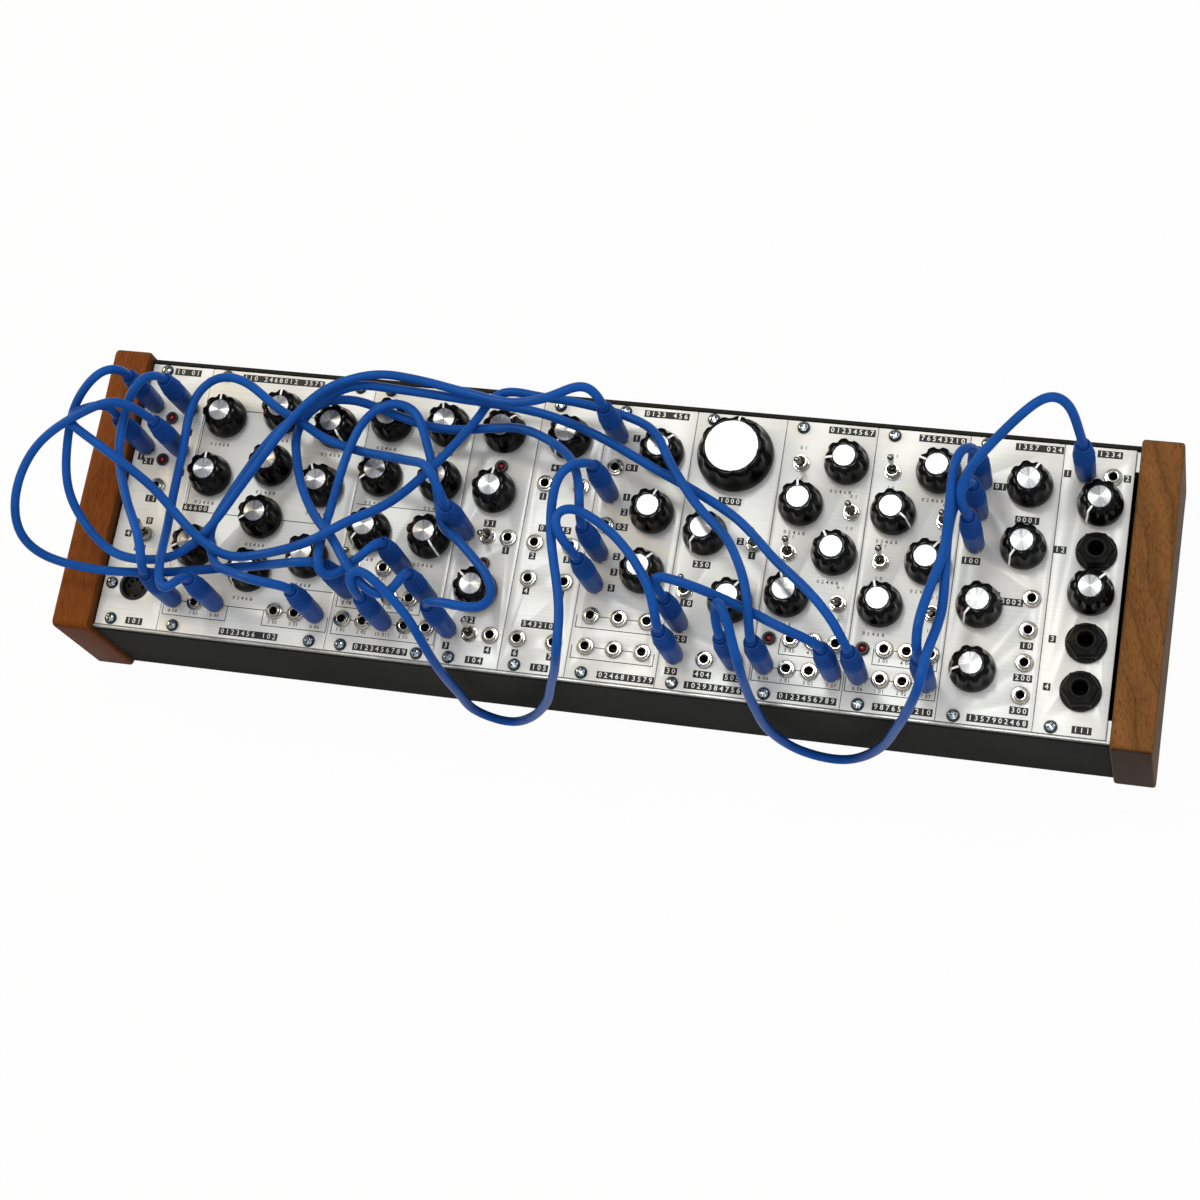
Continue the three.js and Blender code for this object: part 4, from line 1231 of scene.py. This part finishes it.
def smooth_route(points, steps=6):
    """A centripetal curve through the points."""
    points = [Vector(p) for p in points]
    ends = [points[0] * 2 - points[1], *points, points[-1] * 2 - points[-2]]
    line = []
    for p0, p1, p2, p3 in zip(ends, ends[1:], ends[2:], ends[3:]):
        t1 = (p1 - p0).length ** 0.5
        t2 = t1 + (p2 - p1).length ** 0.5
        t3 = t2 + (p3 - p2).length ** 0.5
        for k in range(steps):
            t = t1 + (t2 - t1) * k / steps
            a1 = p0 + (p1 - p0) * (t / t1)
            a2 = p1 + (p2 - p1) * ((t - t1) / (t2 - t1))
            a3 = p2 + (p3 - p2) * ((t - t2) / (t3 - t2))
            b1 = a1 + (a2 - a1) * (t / t2)
            b2 = a2 + (a3 - a2) * ((t - t1) / (t3 - t1))
            line.append(b1 + (b2 - b1) * ((t - t1) / (t2 - t1)))
    line.append(points[-1])
    return line


def eased(line, step=1.2, reach=4, rounds=2):
    """The line at even steps, with its bends rounded as a springy sheath does; its ends stay."""
    even, rest = [line[0]], step
    for a, b in zip(line, line[1:]):
        while (b - a).length >= rest:
            a = a + (b - a).normalized() * rest
            even.append(a)
            rest = step
        rest -= (b - a).length
    for _ in range(rounds):
        even = [
            sum(even[i - span : i + span + 1], Vector()) / (2 * span + 1)
            for i in range(len(even))
            for span in (min(reach, i, len(even) - 1 - i),)
        ]
    if (line[-1] - even[-1]).length < step / 2:
        even.pop()
    return [*even, line[-1]]


# Operators


class SYNTH_OT_camera(bpy.types.Operator):
    """Camera above the front right, looking down on the panels"""

    bl_idname = "synth.camera"
    bl_label = "Camera"

    def execute(self, context):
        data = bpy.data.cameras.new("camera")
        data.lens = 84.56
        data.sensor_width = 36.0
        data.sensor_fit = "HORIZONTAL"
        data.shift_x = 0.0796
        data.shift_y = -0.164
        data.clip_end = 20.0
        camera = new_object("camera", data)
        place = (0.2968, -0.35735, 1.2243)
        right = Vector((0.9581, 0.1756, -0.2263))
        up = Vector((-0.0856, 0.9295, 0.3587))
        toward = right.cross(up).normalized()
        turn = Matrix((right, up, toward)).transposed().to_4x4()
        camera.matrix_world = Matrix.Translation(place) @ turn
        context.scene.camera = camera
        return {"FINISHED"}


class SYNTH_OT_patch_cords(bpy.types.Operator):
    """Fourteen patch cords with a moulded plug on each end"""

    bl_idname = "synth.patch_cords"
    bl_label = "Patch cords"

    def execute(self, context):
        for number, cord in enumerate(CORDS, 1):
            self.make(f"cord_{number:02d}", *cord)
        return {"FINISHED"}

    def make(self, name, start, finish, points):
        """One cord with its two plugs and their metal tips."""
        seats = fittings("plugged")
        ends = [seats[panel][jack] for panel, jack in (start, finish)]
        spots = [(x, y, PLUG_SEAT) for x, y in ends]
        ribs = grow(f"{name}_ribs", TREES["ribs"], spots, "plug", Count=sizes().rib_count, **PLUG_RIBS)
        sleeves = repeated(turned(PLUG_SLEEVE, sides=28), spots)
        plugs = add_piece(f"{name}_plugs", [*sleeves, mesh_shell(ribs)], "plug")
        tips = add_piece(f"{name}_tips", repeated(turned(PLUG_TIP, sides=24), spots), "nickel")
        first, last = [[(x, y, PLUG_SEAT + rise) for rise in CORD_RISES] for x, y in ends]
        line = eased(smooth_route([*first, *points, *reversed(last)]))
        curve = bpy.data.curves.new(name, "CURVE")
        curve.dimensions = "3D"
        curve.bevel_depth = sizes().cord_diameter / 2
        curve.bevel_resolution = 3
        spline = curve.splines.new("POLY")
        spline.points.add(len(line) - 1)
        for point, spot in zip(spline.points, line):
            point.co = (*world(spot), 1)
        spline.use_smooth = True
        cord = dress(new_object(name, curve), "cord", ("patch_cords",))


class SYNTH_OT_stage(bpy.types.Operator):
    """White paper floor, soft overhead light and a pale surround"""

    bl_idname = "synth.stage"
    bl_label = "Stage"

    def execute(self, context):
        corners = [(x * FLOOR_HALF, y * FLOOR_HALF, 0) for x, y in ((-1, -1), (1, -1), (1, 1), (-1, 1))]
        floor = new_object("floor", new_mesh("floor", corners, [(0, 1, 2, 3)]))
        floor.data.materials.append(backdrop_paper("backdrop_paper", colours().floor))
        for name, place, size, power, tint in LAMPS:
            light = bpy.data.lights.new(name, "AREA")
            light.size = size
            light.energy = power
            light.color = tint
            lamp = new_object(name, light)
            lamp.location = place
            lamp.rotation_euler = (-Vector(place)).to_track_quat("-Z", "Y").to_euler()
        context.scene.world = self.surround()
        context.scene.view_settings.view_transform = "Standard"
        return {"FINISHED"}

    def surround(self):
        """A world that is white to the camera and slightly softer as light."""
        surround = bpy.data.worlds.new("surround")
        surround.use_nodes = True
        tree = surround.node_tree
        tree.nodes.clear()
        seen = add_node(tree, "ShaderNodeLightPath")
        levels = {"Value": straight_rays(tree, seen), "To Min": 0.92, "To Max": 1.0}
        plain = add_node(tree, "ShaderNodeMapRange", levels)
        # Reflections see a pale ceiling that falls off to a dim room at the horizon
        toward = add_node(tree, "ShaderNodeTexCoord").outputs["Generated"]
        height = add_node(tree, "ShaderNodeSeparateXYZ", {0: toward}).outputs["Z"]
        levels = {"Value": height, "From Min": 0.3, "From Max": 0.98, "To Min": 0.06, "To Max": 0.7}
        ceiling = add_node(tree, "ShaderNodeMapRange", levels)
        mixed = {"Factor": seen.outputs["Is Glossy Ray"], "A": plain, "B": ceiling}
        strength = add_node(tree, "ShaderNodeMix", mixed)
        sky = add_node(tree, "ShaderNodeBackground", {"Color": grey(1.0), "Strength": strength})
        add_node(tree, "ShaderNodeOutputWorld", {"Surface": sky})
        return surround


class SYNTH_OT_cheeks(bpy.types.Operator):
    """Two solid wooden cheeks with rounded corners"""

    bl_idname = "synth.cheeks"
    bl_label = "Wooden cheeks"

    def execute(self, context):
        for node in ("cheek_left", "cheek_right"):
            low, high = node_box(node)
            size = high - low
            board = round_slab(size.y, size.z, CHEEK_CORNER, size.x, CHEEK_EDGE)
            add_piece(f"wood_{node}", [moved(board, low)], node, (node,))
        return {"FINISHED"}


class SYNTH_OT_case(bpy.types.Operator):
    """Powder coat on the folded steel trough"""

    bl_idname = "synth.case"
    bl_label = "Case"

    def execute(self, context):
        node = frame["nodes"]["case"]
        node.data.materials.clear()
        node.data.materials.append(MATERIALS["case"])
        return {"FINISHED"}


class SYNTH_OT_panels(bpy.types.Operator):
    """Eleven panels with their holes, on two extruded rails"""

    bl_idname = "synth.panels"
    bl_label = "Panels and rails"

    def execute(self, context):
        spots = {kind: fittings(kind) for kind in HOLE_RADII}
        edge = sizes().plate_round * MILLIMETRES
        plates = []
        for i, (left, right) in enumerate(panel_edges()):
            left, right = left + PANEL_GAP / 2, right - PANEL_GAP / 2
            outline = [(left, 0), (right, 0), (right, PANEL_HEIGHT), (left, PANEL_HEIGHT)]
            holes = [circle(x, y, radius) for kind, radius in HOLE_RADII.items() for x, y in spots[kind][i]]
            plates.append(sheet_shell(outline, holes, -PANEL_THICKNESS, 0, edge))
        sheets = add_piece("panel_plates", plates, "panel", FRONT)
        centre_map(sheets, world((0, 0, 0)))
        low, high = node_box(*FRONT)
        rails = [bar(outline, low.x, high.x) for outline in (FRONT_RAIL, REAR_RAIL)]
        add_piece("panel_rails", rails, "rail", FRONT)
        return {"FINISHED"}


class SYNTH_OT_jacks(bpy.types.Operator):
    """Small jacks, large jacks, lamps, the round socket and the panel screws"""

    bl_idname = "synth.jacks"
    bl_label = "Jacks, lamps and screws"

    def execute(self, context):
        radius, bore = [size * MILLIMETRES for size in (sizes().jack_radius, sizes().jack_bore)]
        spots = all_fittings("jack") + all_fittings("plugged")
        nut = (radius, bore + NUT_BORE_GAP, NUT_HEIGHT, NUT_EDGE)
        collar = (COLLAR_RADIUS, bore, COLLAR_HEIGHT, COLLAR_EDGE)
        add_rings("jack_nuts", spots, nut, "nickel")
        add_rings("jack_collars", spots, collar, "nickel", sides=28)
        wells = repeated(turned(JACK_WELL, sides=20), all_fittings("jack"))
        add_piece("jack_wells", wells, "well", FRONT)
        spots = all_fittings("outlet")
        outlets = repeated(turned(OUTLET_FLANGE, sides=48), spots)
        outlets += repeated(turned(OUTLET_NUT, sides=60, radius_at=hexagonal), spots, OUTLET_TURN)
        add_piece("large_jacks", outlets, "outlet", FRONT)
        add_rings("lamp_bezels", all_fittings("lamp"), LAMP_BEZEL, "bezel")
        lenses = repeated(turned(LAMP_LENS, sides=20), all_fittings("lamp"))
        add_piece("lamp_lenses", lenses, "lamp", FRONT)
        self.round_socket()
        self.screws()
        return {"FINISHED"}

    def round_socket(self):
        """A shell with a key notch, and an insert with five pin holes."""
        (x, y, _), = all_fittings("socket")
        cup = moved(turned(SOCKET_CUP, sides=36), (x, y, 0))
        key = block(x - KEY_HALF_WIDTH, y - KEY_OUTER, KEY_LOW, x + KEY_HALF_WIDTH, y - KEY_INNER, KEY_HIGH)
        pins = [(x + PIN_CIRCLE * sin(radians(a)), y + PIN_CIRCLE * cos(radians(a))) for a in PIN_ANGLES]
        holes = [circle(*pin, PIN_RADIUS, 12) for pin in pins]
        insert = sheet_shell(circle(x, y, INSERT_RADIUS, 36), holes, INSERT_LOW, INSERT_HIGH, INSERT_EDGE)
        add_piece("round_socket_shell", [cup, key], "bezel", ("round_socket",))
        add_piece("round_socket_insert", [insert], "well", ("round_socket",))

    def screws(self):
        """Cross-head screws at the panels' corners and beside the round socket."""
        head = solid_object("screw_head", turned(SCREW_HEAD, sides=32))
        arms = []
        for reach_x, reach_y in ((RECESS_REACH, RECESS_HALF_WIDTH), (RECESS_HALF_WIDTH, RECESS_REACH)):
            arm = block(-reach_x, -reach_y, RECESS_FLOOR, reach_x, reach_y, RECESS_TOP)
            arms.append(solid_object("recess", arm))
            boolean = head.modifiers.new("recess", "BOOLEAN")
            boolean.operation = "DIFFERENCE"
            boolean.solver = "EXACT"
            boolean.object = arms[-1]
        places = []
        for i, (left, right) in enumerate(panel_edges()):
            across = [left + SCREW_INSET]
            if i in PAIRED_SCREW_PANELS:
                across.append(right - SCREW_INSET)
            places += [(x, y, 0) for x in across for y in (SCREW_EDGE, PANEL_HEIGHT - SCREW_EDGE)]
        (x, y, _), = all_fittings("socket")
        places += [(x - SOCKET_SCREW_REACH, y, 0), (x + SOCKET_SCREW_REACH, y, 0)]
        screws = grow("panel_screws", TREES["parts"], places, "zinc", Part=head, Largest_turn=2 * pi, Seed=4)
        for spare in (head, *arms):
            bpy.data.objects.remove(spare)
        dress(screws, "zinc", FRONT)


class SYNTH_OT_printing(bpy.types.Operator):
    """Printed lines, plain numbers in black boxes and fine numbers"""

    bl_idname = "synth.printing"
    bl_label = "Printing"

    def execute(self, context):
        inked = self.lines()
        figures = []
        for text, x, y in BOXED_NUMBERS:
            pitch = TITLE_PITCH if min(y, PANEL_HEIGHT - y) < TITLE_BAND else FIGURE_PITCH
            half = (len(text) * pitch + BOX_MARGIN) / 2
            inked.append(
                block(x - half, y - BOX_HALF_HEIGHT, INK_UNDERSIDE, x + half, y + BOX_HALF_HEIGHT, BOX_TOP)
            )
            for k, figure in enumerate(text):
                if figure != " ":
                    spot = (x + (k - (len(text) - 1) / 2) * pitch, y, FIGURE_MIDDLE)
                    figures.append(moved(number_shell(figure, FIGURE_HEIGHT, FIGURE_BOLD), spot))
        for text, x, y in self.fine_numbers():
            fine = number_shell(text, FINE_HEIGHT, FINE_BOLD, FINE_SPACING)
            inked.append(moved(fine, (x, y, FINE_MIDDLE)))
        add_piece("printed_ink", inked, "ink", FRONT)
        figures = add_piece("boxed_figures", figures, "knockout", FRONT)
        centre_map(figures, world((0, 0, 0)))
        return {"FINISHED"}

    def lines(self):
        """Brackets, lines and joins as thin blocks."""
        half = sizes().line_width * MILLIMETRES / 2
        lines = list(PRINTED_LINES)
        for left, bottom, right, top in PRINTED_BRACKETS:
            lines += [(left, bottom, left, top), (left, bottom, right, bottom), (right, bottom, right, top)]
        inked = [
            block(left - half, bottom - half, INK_UNDERSIDE, right + half, top + half, LINE_TOP)
            for left, bottom, right, top in lines
        ]
        for left, right, y in JOINED_JACKS:
            inked.append(block(left, y - half, INK_UNDERSIDE, right, y + half, JOIN_TOP))
        return inked

    def fine_numbers(self):
        """Fine numbers by knobs, switches and jack rows, with the middle of each."""
        fine = []
        for _, x, y, _ in joints_of("knob"):
            if panel_of(x) in FINE_NUMBERED_PANELS:
                fine.append(("0 2 4 6 8", x + BESIDE_KNOB[0], y + BESIDE_KNOB[1]))
        for _, x, y, _ in joints_of("toggle"):
            if panel_of(x) in FINE_NUMBERED_PANELS:
                fine += [("0 1", x, y + OVER_TOGGLE), ("1 0", x, y - UNDER_TOGGLE)]
        for i, (free, plugged) in enumerate(zip(fittings("jack"), fittings("plugged"))):
            if i in FINE_NUMBERED_PANELS:
                for k, (x, y) in enumerate(free + plugged, 1):
                    fine.append((f"{k} 0{k}", x, y - UNDER_JACK))
        return fine


class SYNTH_OT_knobs(bpy.types.Operator):
    """Fluted knobs with a spun cap and a white pointer, each on its own pot"""

    bl_idname = "synth.knobs"
    bl_label = "Knobs"

    def execute(self, context):
        self.make("knob", KNOB_BODY, sizes().cap_radius * MILLIMETRES, lobes=8, crown=11.0)
        self.make("dial", DIAL_BODY, sizes().dial_cap_radius * MILLIMETRES, lobes=10, crown=12.6)
        return {"FINISHED"}

    def make(self, prefix, profile, cap, lobes, crown):
        """Knobs of one size: grips, caps and pointers."""

        def fluted(radius, height, angle):
            rise = clamped((height - FLUTE_START_SHARE * crown) / (FLUTE_SPAN_SHARE * crown))
            rim = clamped((radius - cap - FLUTE_RIM) / FLUTE_RIM_SPAN)
            dip = max(0.0, FLUTE_LEVEL - cos(lobes * angle)) / (1 + FLUTE_LEVEL)
            return radius - FLUTE_DEPTH * rise * rim * dip

        high = crown + CAP_RISE
        cap_outline = [(cap + r, crown + z) for r, z in CAP_FOOT]
        cap_outline += [(cap + r, high + z) for r, z in CAP_RIM]
        cap_outline += [(cap * share, high - CAP_DISH) for share in CAP_DISH_SHARES]
        shells = {
            "grip": (turned(profile, sides=12 * lobes, radius_at=fluted), "knob", "knob_black"),
            "cap": (turned(cap_outline, sides=48), "cap", "knob_cap"),
            "pointer": (self.pointer(profile, cap, crown), "pointer", "pointer_white"),
        }
        for body, x, y, turn in joints_of(prefix):
            spot = (x, y, KNOB_SEAT)
            for part, (shell, finish, slot) in shells.items():
                piece = add_piece(f"{body}_{part}", [moved(shell, spot, turn)], finish, (body,), body)
                if part == "cap":
                    centre_map(piece, world(spot))

    def pointer(self, profile, cap, crown):
        """A white line that runs from the cap over the crown and down the skirt, as a thin closed strip."""
        half = sizes().pointer_width * MILLIMETRES / 2
        shoulder = crown - SHOULDER_DROP
        strip = [
            (r + POINTER_OUT, z) if r > cap + SKIRT_OUT and z < shoulder else (r, z + POINTER_UP)
            for r, z in profile
            if r > cap + POINTER_GAP and z > POINTER_LOW
        ]
        points = [Vector((side * half, r, z)) for r, z in strip for side in (-1, 1)]
        faces = [[2 * i, 2 * i + 1, 2 * i + 3, 2 * i + 2] for i in range(len(strip) - 1)]
        back = len(points)
        inward, down = Vector((0, POINTER_ROOT_IN, 0)), Vector((0, 0, POINTER_ROOT_DOWN))
        points += [p - (inward if p.z < shoulder else down) for p in points]
        faces += [[a + back for a in reversed(face)] for face in faces]
        rim = [2 * i for i in range(len(strip))] + [2 * i + 1 for i in reversed(range(len(strip)))]
        faces += [[a, b, b + back, a + back] for a, b in zip(rim, rim[1:] + rim[:1])]
        return points, faces


class SYNTH_OT_toggles(bpy.types.Operator):
    """Toggle switches: washer, nut and bush on the panel, and a bat lever that flips"""

    bl_idname = "synth.toggles"
    bl_label = "Toggle switches"

    def execute(self, context):
        points, faces = turned(TOGGLE_LEVER, sides=18)
        nut = turned(TOGGLE_NUT, sides=6, closed=True)
        bush = turned(TOGGLE_BUSH, sides=24, closed=True)
        inside = turned(TOGGLE_INSIDE, sides=18)
        fixed, dark, spots = [], [], []
        for body, x, y, lean in joints_of("toggle"):
            tilt = Matrix.Rotation(-radians(lean), 3, "X")
            lever = ([tilt @ p + Vector((x, y, TOGGLE_PIVOT)) for p in points], faces)
            add_piece(f"{body}_lever", [lever], "nickel", (body,), body)
            spots.append((x, y, 0))
            fixed += [moved(nut, spots[-1], TOGGLE_NUT_TURN), moved(bush, spots[-1])]
            dark.append(moved(inside, spots[-1]))
        add_rings("toggle_washers", spots, TOGGLE_WASHER, "nickel")
        add_piece("toggle_nuts", fixed, "nickel", FRONT)
        add_piece("toggle_insides", dark, "well", FRONT)
        return {"FINISHED"}


class SYNTH_PT_panel(bpy.types.Panel):
    """Steps of the synthesizer, in the order in which they run"""

    bl_idname = "SYNTH_PT_panel"
    bl_label = "Modular synthesizer"
    bl_space_type = "VIEW_3D"
    bl_region_type = "UI"
    bl_category = "Synthesizer"

    def draw(self, context):
        for group in (context.scene.synth_sizes, context.scene.synth_colours):
            box = self.layout.box()
            for name in group.__annotations__:
                box.prop(group, name)
        for step in STEPS:
            self.layout.operator(step.bl_idname)


STEPS = (
    SYNTH_OT_camera,
    SYNTH_OT_patch_cords,
    SYNTH_OT_stage,
    SYNTH_OT_cheeks,
    SYNTH_OT_case,
    SYNTH_OT_panels,
    SYNTH_OT_jacks,
    SYNTH_OT_printing,
    SYNTH_OT_knobs,
    SYNTH_OT_toggles,
)
CLASSES = (SynthSizes, SynthColours, *STEPS, SYNTH_PT_panel)


def register():
    for item in CLASSES:
        bpy.utils.register_class(item)
    bpy.types.Scene.synth_sizes = PointerProperty(type=SynthSizes)
    bpy.types.Scene.synth_colours = PointerProperty(type=SynthColours)


def unregister():
    del bpy.types.Scene.synth_colours
    del bpy.types.Scene.synth_sizes
    for item in reversed(CLASSES):
        bpy.utils.unregister_class(item)


def main():
    """Makes the finishes and runs the steps in order."""
    register()
    make_materials()
    TREES.update(rings=ring_tree(), parts=scatter_tree(), ribs=rib_tree())
    for step in STEPS:
        group, name = step.bl_idname.split(".")
        getattr(getattr(bpy.ops, group), name)()


if __name__ == "__main__":
    main()
